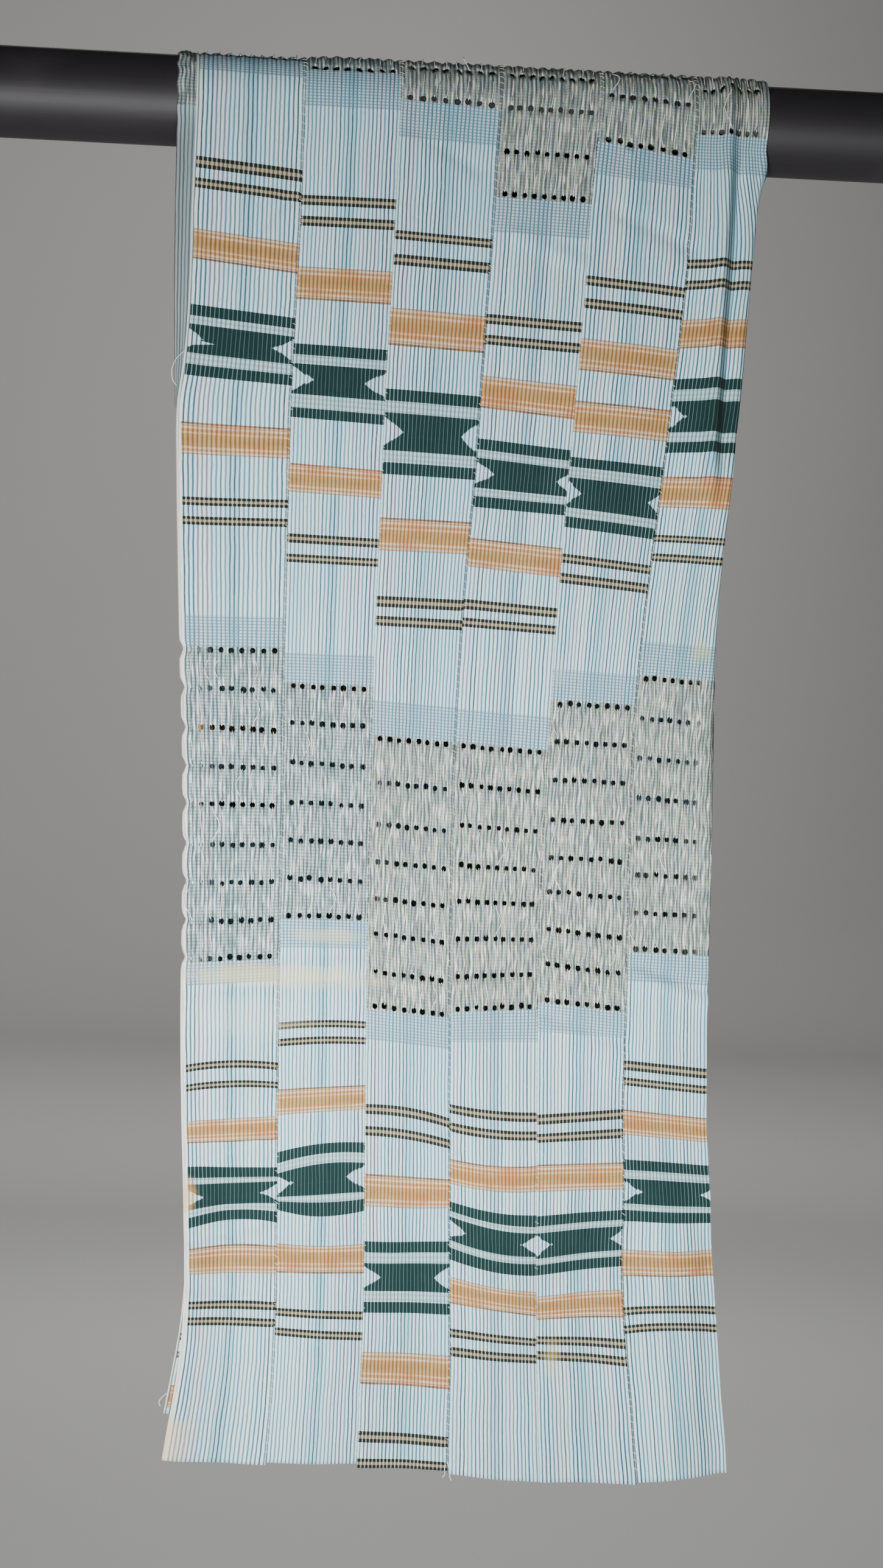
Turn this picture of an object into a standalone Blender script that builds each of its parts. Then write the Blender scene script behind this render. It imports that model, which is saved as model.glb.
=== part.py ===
"""Cloth of six narrow hand-woven strips, sewn edge to edge and hung over a thick round bar.

All sizes in the tables are in millimetres; the objects are built in metres with Z up.
X runs along the bar from the middle of its left end. The front of the cloth faces the negative Y side.
A place on the cloth is given by x across it and by its distance along it from the top of the bar,
positive down the front and negative down the back.
"""

import math

import bpy
import numpy as np

MM = 0.001

# Bar
BAR_RADIUS = 50.0
BAR_LENGTH = 1300.0
BAR_SIDES = 48

# Cloth
CLOTH_THICKNESS = 2.0
WRAP_RADIUS = 52.0
SEAM_GAP = 0.6
QUARTER_WRAP = WRAP_RADIUS * math.pi / 2.0

# Openwork
HOLE_LENGTH = 6.4
HOLE_WIDTH = 5.2
HOLES_ACROSS = (0.167, 0.389, 0.611, 0.833)
NOTCH_DEPTH = 4.5
NOTCH_LENGTH = 9.0

# Spacing of the mesh lines along a strip
WRAP_STEP = 16.3
FRONT_STEP = 50.0
BACK_STEP = 150.0

# Where the two selvedges and the five seams hang, by distance along the front
EDGE_COLUMNS = ("along", "left", "seam_1", "seam_2", "seam_3", "seam_4", "seam_5", "right")
EDGE_ROWS = (
    (0, 311, 450, 557, 669, 781, 886, 967),
    (60, 311, 450, 556, 667, 778, 885, 966),
    (120, 312, 450, 555, 664, 774, 883, 963),
    (200, 313, 450, 554, 662, 769, 881, 957),
    (300, 315, 448, 552, 658, 765, 876, 951),
    (400, 319, 446, 549, 654, 760, 867, 945),
    (500, 324, 446, 548, 650, 754, 858, 936),
    (600, 330, 447, 547, 644, 749, 848, 927),
    (700, 336, 448, 546, 640, 745, 839, 922),
    (800, 342, 450, 547, 638, 742, 836, 921),
    (900, 346, 452, 548, 639, 740, 836, 923),
    (1000, 348, 453, 549, 640, 739, 837, 926),
    (1100, 350, 455, 551, 643, 741, 838, 929),
    (1200, 354, 457, 553, 646, 743, 839, 933),
    (1300, 359, 460, 556, 650, 746, 842, 940),
    (1400, 362, 462, 558, 653, 749, 846, 950),
    (1450, 360, 462, 558, 655, 751, 851, 955),
    (1500, 354, 461, 557, 656, 754, 857, 960),
    (1540, 348, 459, 557, 656, 756, 861, 965),
    (1600, 340, 455, 556, 657, 760, 868, 970),
)

# How far the back layer hangs sideways from the front one, by distance from the top of the bar
BACK_SHIFT_COLUMNS = ("along", "shift")
BACK_SHIFT_ROWS = (
    (0, 0),
    (100, 0),
    (300, 3),
    (600, 4),
    (1200, 4),
    (1400, 0),
    (1500, -3),
    (1600, -4),
)

# How far the right selvedge of the last strip is turned back, by distance along the front
TURN_COLUMNS = ("along", "turned")
TURN_ROWS = (
    (112, 0),
    (195, 24),
    (330, 26),
    (520, 21),
    (700, 12),
    (900, 5),
    (1100, 0),
    (1600, 0),
)
TURN_RADIUS = 5.0
TURN_ANGLE = 2.9
FULL_TURN = 20.0

# How the weft lies in each strip: right end below the left end, and middle below both ends
WEFT_COLUMNS = ("along", "tilt", "bow")
WEFT_ROWS = {
    1: (
        (-1545, 4, 0),
        (0, 3, 0),
        (60, 4, 0),
        (157, 10, 0),
        (390, 7, 0),
        (450, 2, 0),
        (655, -2, 0),
        (775, 0, 0),
        (943, -4, 0),
        (1054, -8, 0),
        (1150, -6, -4),
        (1213, -8, 0),
        (1259, -2, 0),
        (1285, -9, 0),
        (1313, -9, -6),
        (1356, -3, 0),
        (1410, 1, 1),
        (1576, 6, 2),
    ),
    2: (
        (-1548, -3, 0),
        (0, 0, 0),
        (210, 0, 0),
        (360, 3, 0),
        (430, 5, 0),
        (590, 2, 0),
        (690, 0, 0),
        (811, 3, 0),
        (977, 0, 0),
        (1100, -4, -2),
        (1180, -8, 0),
        (1282, -8, 0),
        (1293, -3, 4),
        (1350, -2, 0),
        (1430, 4, 0),
        (1576, 0, 0),
    ),
    3: (
        (-1543, 3, 0),
        (0, 4, 0),
        (90, 5, 0),
        (257, 5, 0),
        (400, 4, 0),
        (630, 1, 0),
        (741, 5, 0),
        (918, 6, 0),
        (1040, 10, 0),
        (1100, 8, 0),
        (1195, 14, -4),
        (1222, 13, -3),
        (1262, 4, 0),
        (1405, 1, 0),
        (1550, 5, 0),
        (1582, 2, 0),
    ),
    4: (
        (-1550, 5, 0),
        (0, 2, 0),
        (130, 2, 0),
        (330, 5, 0),
        (470, 8, 0),
        (520, 5, 0),
        (580, 8, 0),
        (650, 5, 0),
        (788, 6, 0),
        (918, 4, 0),
        (997, -1, 0),
        (1055, -6, 0),
        (1110, -2, 0),
        (1195, 8, 3),
        (1270, 7, 4),
        (1300, 15, 4),
        (1358, 16, 4),
        (1400, 13, 0),
        (1455, 7, 0),
        (1590, 8, 0),
    ),
    5: (
        (-1546, 2, 0),
        (0, 8, 0),
        (64, 9, 0),
        (117, 15, 0),
        (155, 11, 0),
        (290, 8, 0),
        (420, 6, 0),
        (540, 10, 0),
        (700, 4, 0),
        (864, 2, 0),
        (1066, 9, 0),
        (1110, 4, 0),
        (1190, -8, 0),
        (1256, -5, 0),
        (1302, -10, 0),
        (1400, -7, 0),
        (1439, 3, 0),
        (1595, 1, 0),
    ),
    6: (
        (-1540, -4, 0),
        (0, -8, 0),
        (45, -9, 0),
        (97, -1, 0),
        (250, -5, 0),
        (450, -3, 0),
        (560, 2, 0),
        (780, 4, 0),
        (1004, 2, 0),
        (1040, 3, 0),
        (1135, 7, 0),
        (1210, 7, 0),
        (1275, 3, 0),
        (1350, -2, 0),
        (1415, -2, -4),
        (1588, -10, 0),
    ),
}

# Rows of holes that show in each strip, by distance along it
HOLE_ROWS = {
    1: (24, 690, 732, 775, 817, 858, 902, 943, 985, 1025),
    2: (2, 44, 727, 767, 811, 854, 895, 937, 977),
    3: (36, 78, 783, 831, 877, 918, 959, 998, 1040, 1077),
    4: (40, 82, 131, 178, 788, 831, 875, 918, 957, 997, 1037, 1072),
    5: (22, 64, 117, 736, 778, 820, 864, 906, 945, 988, 1027, 1066),
    6: (3, 45, 97, 706, 750, 794, 838, 882, 922, 964, 1004),
}

# Folds, each along a line from its start to its end; height is outward from the bar
FOLD_COLUMNS = ("x_start", "along_start", "x_end", "along_end", "height", "width")
FOLD_ROWS = {
    "pleat ridge": (922, 60, 913, 470, 11, 9),
    "pleat valley": (935, 150, 926, 430, -12, 8),
    "crumpled selvedge": (318, 0, 318, 70, 3, 8),
    "folded edge set back": (317, 130, 319, 330, -6, 9),
    "openwork puffed up over the bar": (490, 0, 945, 0, 4, 40),
    "pull below the top": (870, 300, 850, 620, -5, 26),
    "left selvedge lift": (326, 380, 345, 1180, 4, 16),
    "left flare": (366, 1290, 345, 1640, 9, 24),
    "first hem wave": (418, 1330, 412, 1640, -7, 30),
    "second hem wave": (508, 1300, 503, 1640, 6, 34),
    "third hem wave": (612, 1340, 606, 1640, -6, 32),
    "fourth hem wave": (706, 1300, 708, 1640, 7, 36),
    "fifth hem wave": (803, 1330, 812, 1640, -6, 32),
    "sixth hem wave": (890, 1290, 905, 1640, 7, 34),
    "right flare": (945, 1330, 966, 1640, -8, 20),
    "sag under the openwork": (340, 1130, 560, 1105, -5, 30),
    "swell over the left motif": (340, 1205, 560, 1170, 5, 32),
    "trough through the left motif": (340, 1325, 560, 1300, -6, 30),
    "swell over the middle motif": (560, 1215, 830, 1235, 5, 34),
    "trough through the middle motif": (640, 1330, 850, 1345, -6, 32),
    "trough through the right motif": (840, 1175, 940, 1195, -4, 30),
    "swell over the right motif": (840, 1270, 945, 1280, 5, 34),
    "long billow": (560, 420, 600, 1120, 5, 90),
    "long hollow": (740, 420, 720, 1120, -4, 70),
    "back ridge": (470, -260, 455, -1640, 9, 60),
    "back hollow": (620, -260, 640, -1640, -8, 60),
    "back ridge on the right": (800, -260, 815, -1640, 9, 70),
}
FOLD_FADE = 60.0


def curve(columns, rows, name):
    """Makes a smooth curve through one named column of a table: its places, values and slopes."""
    places = np.array([row[0] for row in rows], dtype=float)
    values = np.array([row[columns.index(name)] for row in rows], dtype=float)
    return places, values, np.gradient(values, places)


EDGE_CURVES = tuple(curve(EDGE_COLUMNS, EDGE_ROWS, name) for name in EDGE_COLUMNS[1:])
BACK_SHIFT_CURVE = curve(BACK_SHIFT_COLUMNS, BACK_SHIFT_ROWS, "shift")
TURN_CURVE = curve(TURN_COLUMNS, TURN_ROWS, "turned")
TILT_CURVES = {strip: curve(WEFT_COLUMNS, rows, "tilt") for strip, rows in WEFT_ROWS.items()}
BOW_CURVES = {strip: curve(WEFT_COLUMNS, rows, "bow") for strip, rows in WEFT_ROWS.items()}


def read(at, line):
    """Reads a smooth curve at a place; it stays level past its ends."""
    places, values, slopes = line
    at = min(max(at, places[0]), places[-1])
    i = int(min(max(np.searchsorted(places, at) - 1, 0), len(places) - 2))
    span = places[i + 1] - places[i]
    t = (at - places[i]) / span
    start = (2 * t**3 - 3 * t**2 + 1) * values[i] + (t**3 - 2 * t**2 + t) * span * slopes[i]
    end = (-2 * t**3 + 3 * t**2) * values[i + 1] + (t**3 - t**2) * span * slopes[i + 1]
    return float(start + end)


def notch(along):
    """How far the left selvedge is drawn in beside a row of holes."""
    gaps = [abs(along - row) / NOTCH_LENGTH for row in HOLE_ROWS[1] if row > QUARTER_WRAP]
    return NOTCH_DEPTH * math.exp(-(min(gaps) ** 2) * 2.0)


def edge_at(number, along):
    """Gives x of an edge line, numbered from the left selvedge as 0 to the right one as 6."""
    x = read(abs(along), EDGE_CURVES[number])
    if along < 0:
        x += read(-along, BACK_SHIFT_CURVE)
    elif number == 0:
        x += notch(along)
    return x


def turned_at(along):
    """How much of the last strip's width is turned back at a place."""
    return max(0.0, read(along, TURN_CURVE))


def weft_at(strip, mark, across):
    """Gives the distance along the cloth of a weft line at a share of the strip's width."""
    tilt = read(mark, TILT_CURVES[strip])
    bow = read(mark, BOW_CURVES[strip])
    share = min(across, 1.0)
    return mark + tilt * (share - 0.5) + bow * (1.0 - (2.0 * share - 1.0) ** 2)


def fade(distance, length):
    """Falls smoothly from one at no distance to zero at the given length."""
    t = min(max(distance / length, 0.0), 1.0)
    return 1.0 - t * t * (3.0 - 2.0 * t)


def fold_height(x, along):
    """Adds up the folds at a place on the cloth."""
    total = 0.0
    for x0, a0, x1, a1, height, width in FOLD_ROWS.values():
        run = np.array([x1 - x0, a1 - a0], dtype=float)
        length = float(np.hypot(*run))
        offset = np.array([x - x0, along - a0])
        t = float(offset @ run) / length
        side = abs(offset[0] * run[1] - offset[1] * run[0]) / length
        over = max(-t, t - length, 0.0)
        total += height * math.exp(-((side / width) ** 2)) * fade(over, FOLD_FADE)
    off_bar = 1.0 - fade(abs(along) - QUARTER_WRAP, 70.0)
    return total * off_bar if total < 0.0 else total


def on_profile(along, outward):
    """Gives Y and Z of the path over the bar, moved outward from it."""
    radius = WRAP_RADIUS + outward
    if abs(along) <= QUARTER_WRAP:
        angle = along / WRAP_RADIUS
        return -radius * math.sin(angle), radius * math.cos(angle)
    side = -1.0 if along > 0 else 1.0
    return side * radius, QUARTER_WRAP - abs(along)


def turned_offset(along, share):
    """Gives how far sideways and inward the cloth has gone on the part past the last strip's bend."""
    turned = turned_at(along)
    run = (TURN_RADIUS + turned) * share
    bend = TURN_RADIUS * TURN_ANGLE
    angle = TURN_ANGLE * min(turned / FULL_TURN, 1.0)
    if angle < 0.01:
        return run, 0.0
    rate = angle / bend
    curved, straight = min(run, bend), max(run - bend, 0.0)
    sideways = math.sin(rate * curved) / rate + straight * math.cos(angle)
    inward = (1.0 - math.cos(rate * curved)) / rate + straight * math.sin(angle)
    return sideways, inward


def cloth_point(strip, mark, across):
    """Places a point of the middle of the cloth.

    The share across is 0 at the strip's left edge and 1 at its right edge. In the last strip it is 1 where
    the selvedge begins to turn back, and 2 at the selvedge.
    """
    along = weft_at(strip, mark, across)
    left = edge_at(strip - 1, along) + (SEAM_GAP / 2.0 if strip > 1 else 0.0)
    right = edge_at(strip, along) - (TURN_RADIUS if has_turn(strip) else SEAM_GAP / 2.0)
    x = left + (right - left) * min(across, 1.0)
    outward = fold_height(x, along)
    if across > 1.0:
        sideways, inward = turned_offset(along, across - 1.0)
        x += sideways
        outward -= inward
    y, z = on_profile(along, outward)
    return np.array([x, y, z])


def cloth_normal(strip, mark, across):
    """Gives the outward direction of the cloth at a place."""
    step = 0.02
    last = 2.0 if has_turn(strip) else 1.0
    low, high = max(across - step, 0.0), min(across + step, last)
    run_across = cloth_point(strip, mark, high) - cloth_point(strip, mark, low)
    run_along = cloth_point(strip, mark + 1.5, across) - cloth_point(strip, mark - 1.5, across)
    normal = np.cross(run_along, run_across)
    return normal / np.linalg.norm(normal)


def has_turn(strip):
    """Tells whether a strip has a selvedge that is turned back."""
    return strip == 6


def columns_across(strip):
    """Lists the shares across a strip where the mesh has lines, with the holes' columns."""
    lines, hole_columns = [0.0], []
    half = HOLE_WIDTH / 96.0 / 2.0
    for centre in HOLES_ACROSS:
        hole_columns.append(len(lines))
        lines += [centre - half, centre + half]
    if has_turn(strip):
        lines += [1.0, 1.2, 1.42]
        lines.insert(7, 0.72)
        hole_columns[3] += 1
        return lines + [2.0], hole_columns
    return lines + [1.0], hole_columns


def step_at(mark):
    """Gives the longest cell allowed at a place along a strip."""
    if abs(mark) < QUARTER_WRAP + 8.0:
        return WRAP_STEP
    return FRONT_STEP if mark > 0 else BACK_STEP


def marks_along(strip):
    """Lists the weft lines where a strip's mesh has rows, with the holes' rows."""
    hems = (WEFT_ROWS[strip][0][0], WEFT_ROWS[strip][-1][0])
    fixed = {float(hems[0]), float(hems[1]), -QUARTER_WRAP - 8.0, QUARTER_WRAP + 8.0}
    for row in HOLE_ROWS[strip]:
        fixed = {mark for mark in fixed if abs(mark - row) > HOLE_LENGTH}
        fixed |= {row - HOLE_LENGTH / 2.0, row + HOLE_LENGTH / 2.0}
    marks = []
    ends = sorted(fixed)
    for start, end in zip(ends, ends[1:]):
        step = min(step_at(start + 0.1), step_at(end - 0.1))
        parts = max(1, math.ceil((end - start) / step))
        marks += [start + (end - start) * i / parts for i in range(parts)]
    marks.append(ends[-1])
    hole_rows = [marks.index(row - HOLE_LENGTH / 2.0) for row in HOLE_ROWS[strip]]
    return marks, hole_rows


def sheet_mesh(strip):
    """Builds the points and faces of one strip as a closed sheet with its holes cut through."""
    lines, hole_columns = columns_across(strip)
    marks, hole_rows = marks_along(strip)
    wide, tall = len(lines), len(marks)
    outer, inner = [], []
    for mark in marks:
        for across in lines:
            point = cloth_point(strip, mark, across)
            shift = cloth_normal(strip, mark, across) * CLOTH_THICKNESS / 2.0
            outer.append((point + shift) * MM)
            inner.append((point - shift) * MM)
    points = outer + inner
    under = wide * tall
    holes = {(i, j) for i in hole_rows for j in hole_columns}
    cells = {(i, j) for i in range(tall - 1) for j in range(wide - 1)} - holes
    faces = []
    for i, j in sorted(cells):
        a, b = i * wide + j, i * wide + j + 1
        c, d = b + wide, a + wide
        faces.append((a, d, c, b))
        faces.append((a + under, b + under, c + under, d + under))
        sides = (((i - 1, j), a, b), ((i + 1, j), c, d), ((i, j - 1), d, a), ((i, j + 1), b, c))
        for neighbour, start, end in sides:
            if neighbour not in cells:
                faces.append((start, end, end + under, start + under))
    return points, faces


def bar_mesh():
    """Builds the points and faces of the round bar."""
    points = []
    for x in (0.0, BAR_LENGTH):
        for i in range(BAR_SIDES):
            angle = 2.0 * math.pi * (i + 0.5) / BAR_SIDES
            points.append((x * MM, BAR_RADIUS * math.cos(angle) * MM, BAR_RADIUS * math.sin(angle) * MM))
    faces = [tuple(reversed(range(BAR_SIDES))), tuple(range(BAR_SIDES, 2 * BAR_SIDES))]
    for i in range(BAR_SIDES):
        j = (i + 1) % BAR_SIDES
        faces.append((i, j, j + BAR_SIDES, i + BAR_SIDES))
    return points, faces


def make_material(name, colour, roughness):
    """Makes a plain material for one sub-part."""
    material = bpy.data.materials.new(name)
    material.use_nodes = True
    shader = material.node_tree.nodes["Principled BSDF"]
    shader.inputs["Base Color"].default_value = (*colour, 1.0)
    shader.inputs["Roughness"].default_value = roughness
    return material


def make_object(name, points, faces, material):
    """Makes one closed object with its faces turned outward."""
    mesh = bpy.data.meshes.new(name)
    mesh.from_pydata([tuple(float(v) for v in point) for point in points], [], faces)
    mesh.update()
    mesh.materials.append(material)
    thing = bpy.data.objects.new(name, mesh)
    bpy.context.scene.collection.objects.link(thing)
    return thing


def clear_scene():
    """Removes whatever the scene starts with."""
    for thing in list(bpy.data.objects):
        bpy.data.objects.remove(thing, do_unlink=True)


def main():
    """Builds the bar and the six strips."""
    clear_scene()
    make_object("bar", *bar_mesh(), make_material("bar_dark_paint", (0.022, 0.019, 0.022), 0.7))
    for strip in range(1, 7):
        cotton = make_material(f"strip_{strip}_cotton", (0.60, 0.67, 0.70), 0.9)
        make_object(f"strip_{strip}", *sheet_mesh(strip), cotton)


main()
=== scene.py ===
"""Aso oke cloth of six narrow hand-woven strips, hung over a dark round bar in a pale studio.

The cloth follows the folds of its solids. A place on it is given by its strip, by the mark along it in
millimetres from the top of the bar, positive down the front, and by the share across the strip.
"""

import logging
import math
from dataclasses import dataclass, field
from enum import Enum, IntEnum
from typing import Any, Union

import bmesh
import bpy
import numpy as np
from mathutils import Matrix, Vector

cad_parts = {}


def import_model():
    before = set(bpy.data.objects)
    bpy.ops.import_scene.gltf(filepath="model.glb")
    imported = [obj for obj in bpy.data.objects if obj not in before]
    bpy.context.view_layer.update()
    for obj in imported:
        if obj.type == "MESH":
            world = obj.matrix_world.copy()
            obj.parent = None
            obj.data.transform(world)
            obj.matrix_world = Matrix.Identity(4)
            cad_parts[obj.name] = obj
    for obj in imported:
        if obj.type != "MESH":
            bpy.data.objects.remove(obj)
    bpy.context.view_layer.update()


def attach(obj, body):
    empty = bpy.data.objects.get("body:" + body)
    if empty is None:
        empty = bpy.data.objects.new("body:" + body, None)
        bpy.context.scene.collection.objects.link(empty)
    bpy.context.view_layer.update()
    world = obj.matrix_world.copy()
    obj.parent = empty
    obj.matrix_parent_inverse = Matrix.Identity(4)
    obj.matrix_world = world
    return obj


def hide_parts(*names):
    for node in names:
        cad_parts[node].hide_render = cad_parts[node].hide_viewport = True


MM = 0.001
STRIPS = 6
log = logging.getLogger("cloth")


# Small helpers


def linear(code: str) -> tuple[float, float, float, float]:
    """Turns an sRGB hex colour into linear light.

    Args:
        code: six hex digits, with or without a leading mark.

    Returns:
        Red, green, blue and an alpha of one.
    """
    code = code.lstrip("#")
    parts = [int(code[i : i + 2], 16) / 255.0 for i in (0, 2, 4)]
    light = [c / 12.92 if c <= 0.04045 else ((c + 0.055) / 1.055) ** 2.4 for c in parts]
    return (light[0], light[1], light[2], 1.0)


def fade(distance: np.ndarray, length: float) -> np.ndarray:
    """Falls smoothly from one at no distance to zero at the given length.

    Args:
        distance: how far past the start, in millimetres.
        length: where the fall ends.

    Returns:
        The share that is left.
    """
    t = np.clip(distance / length, 0.0, 1.0)
    return 1.0 - t * t * (3.0 - 2.0 * t)


@dataclass(frozen=True)
class Curve:
    """A smooth curve through the rows of a table."""

    places: np.ndarray
    values: np.ndarray

    def read(self, at: np.ndarray) -> np.ndarray:
        """Reads the curve.

        Args:
            at: places to read at; the curve stays level past its ends.

        Returns:
            The values there.
        """
        slopes = np.gradient(self.values, self.places)
        at = np.clip(at, self.places[0], self.places[-1])
        i = np.clip(np.searchsorted(self.places, at) - 1, 0, len(self.places) - 2)
        span = self.places[i + 1] - self.places[i]
        t = (at - self.places[i]) / span
        start = (2 * t**3 - 3 * t**2 + 1) * self.values[i] + (t**3 - 2 * t**2 + t) * span * slopes[i]
        end = (-2 * t**3 + 3 * t**2) * self.values[i + 1] + (t**3 - t**2) * span * slopes[i + 1]
        return start + end


def curves(rows: tuple[tuple[float, ...], ...]) -> list[Curve]:
    """Makes one curve for each column of a table after its first, which holds the places.

    Args:
        rows: the table.

    Returns:
        The curves, in the table's order.
    """
    table = np.array(rows, dtype=float)
    return [Curve(table[:, 0], table[:, i]) for i in range(1, table.shape[1])]


# Form of the hanging cloth


@dataclass(frozen=True)
class Fold:
    """A soft ridge or trough along a line; its height is outward from the bar."""

    x_start: float
    along_start: float
    x_end: float
    along_end: float
    height: float
    width: float
    reach: float = 60.0

    def height_at(self, x: np.ndarray, along: np.ndarray) -> np.ndarray:
        """Gives what this fold adds at places on the cloth.

        Args:
            x: across the cloth, in millimetres.
            along: along it, in millimetres.

        Returns:
            The height outward, in millimetres.
        """
        run_x, run_along = self.x_end - self.x_start, self.along_end - self.along_start
        length = math.hypot(run_x, run_along)
        off_x, off_along = x - self.x_start, along - self.along_start
        t = (off_x * run_x + off_along * run_along) / length
        side = np.abs(off_x * run_along - off_along * run_x) / length
        over = np.maximum(np.maximum(-t, t - length), 0.0)
        return self.height * np.exp(-((side / self.width) ** 2)) * fade(over, self.reach)


@dataclass(frozen=True)
class ClothSizes:
    """Driving sizes of the cloth, in millimetres."""

    wrap_radius: float = 52.0
    thickness: float = 1.2
    seam_gap: float = 0.1
    strip_width: float = 105.0
    turn_radius: float = 5.0
    turn_angle: float = 2.9
    full_turn: float = 20.0
    notch_depth: float = 4.5
    notch_length: float = 9.0
    hole_length: float = 6.8
    hole_share: float = 0.275
    rib_height: float = 0.45

    @property
    def quarter(self) -> float:
        """Length of cloth on a quarter of the bar."""
        return self.wrap_radius * math.pi / 2.0


# Columns: along, left, seam 1, seam 2, seam 3, seam 4, seam 5, right
EDGE_ROWS = (
    (0, 311, 450, 557, 669, 781, 886, 967),
    (60, 311, 450, 556, 667, 778, 885, 966),
    (120, 312, 450, 555, 664, 774, 883, 963),
    (200, 313, 450, 554, 662, 769, 881, 957),
    (300, 315, 448, 552, 658, 765, 876, 951),
    (400, 319, 446, 549, 654, 760, 867, 945),
    (500, 324, 446, 548, 650, 754, 858, 936),
    (600, 330, 447, 547, 644, 749, 848, 927),
    (700, 336, 448, 546, 640, 745, 839, 922),
    (800, 342, 450, 547, 638, 742, 836, 921),
    (900, 346, 452, 548, 639, 740, 836, 923),
    (1000, 348, 453, 549, 640, 739, 837, 926),
    (1100, 350, 455, 551, 643, 741, 838, 929),
    (1200, 354, 457, 553, 646, 743, 839, 933),
    (1300, 359, 460, 556, 650, 746, 842, 940),
    (1400, 362, 462, 558, 653, 749, 846, 950),
    (1450, 360, 462, 558, 655, 751, 851, 955),
    (1500, 354, 461, 557, 656, 754, 857, 960),
    (1540, 348, 459, 557, 656, 756, 861, 965),
    (1600, 340, 455, 556, 657, 760, 868, 970),
)

# Columns: along, shift of the back layer
BACK_SHIFT_ROWS = ((0, 0), (100, 0), (300, 3), (600, 4), (1200, 4), (1400, 0), (1500, -3), (1600, -4))

# Columns: along, width of the folded-under edge that shows left of the first strip
FOLDED_ROWS = (
    (-300, 0), (-120, 12), (0, 20), (60, 21), (120, 20), (200, 18),
    (300, 16), (340, 13.5), (380, 9), (420, 2.5), (450, 0.5), (480, 0), (1600, 0),
)

# Columns: along, width of the last strip that is turned back
TURN_ROWS = ((112, 0), (195, 24), (330, 26), (520, 21), (700, 12), (900, 5), (1100, 0), (1600, 0))

# Columns: along, tilt of the weft, bow of the weft
WEFT_ROWS = {
    1: (
        (-1545, 4, 0), (0, 3, 0), (60, 4, 0), (157, 10, 0), (390, 7, 0), (450, 2, 0),
        (655, -2, 0), (775, 0, 0), (943, -4, 0), (1054, -8, 0), (1150, -6, -4), (1213, -8, 0),
        (1259, -2, 0), (1285, -9, 0), (1313, -9, -6), (1356, -3, 0), (1410, 1, 1), (1576, 6, 2),
    ),
    2: (
        (-1548, -3, 0), (0, 0, 0), (210, 0, 0), (360, 3, 0), (430, 5, 0), (590, 2, 0),
        (690, 0, 0), (811, 3, 0), (977, 0, 0), (1100, -4, -2), (1180, -8, 0), (1282, -8, 0),
        (1293, -3, 4), (1350, -2, 0), (1430, 4, 0), (1576, 0, 0),
    ),
    3: (
        (-1543, 3, 0), (0, 4, 0), (90, 5, 0), (257, 5, 0), (400, 4, 0), (630, 1, 0),
        (741, 5, 0), (918, 6, 0), (1040, 10, 0), (1100, 8, 0), (1195, 14, -4), (1222, 13, -3),
        (1262, 4, 0), (1405, 1, 0), (1550, 5, 0), (1582, 2, 0),
    ),
    4: (
        (-1550, 5, 0), (0, 2, 0), (130, 2, 0), (330, 5, 0), (470, 8, 0), (520, 5, 0),
        (580, 8, 0), (650, 5, 0), (788, 6, 0), (918, 4, 0), (997, -1, 0), (1055, -6, 0),
        (1110, -2, 0), (1195, 8, 3), (1270, 7, 4), (1300, 15, 4), (1358, 16, 4), (1400, 13, 0),
        (1455, 7, 0), (1590, 8, 0),
    ),
    5: (
        (-1546, 2, 0), (0, 8, 0), (64, 9, 0), (117, 15, 0), (155, 11, 0), (290, 8, 0),
        (420, 6, 0), (540, 10, 0), (700, 4, 0), (864, 2, 0), (1066, 9, 0), (1110, 4, 0),
        (1190, -8, 0), (1256, -5, 0), (1302, -10, 0), (1400, -7, 0), (1439, 3, 0), (1595, 1, 0),
    ),
    6: (
        (-1540, -4, 0), (0, -8, 0), (45, -9, 0), (97, -1, 0), (250, -5, 0), (450, -3, 0),
        (560, 2, 0), (780, 4, 0), (1004, 2, 0), (1040, 3, 0), (1135, 7, 0), (1210, 7, 0),
        (1275, 3, 0), (1350, -2, 0), (1415, -2, -4), (1588, -10, 0),
    ),
}

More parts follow.
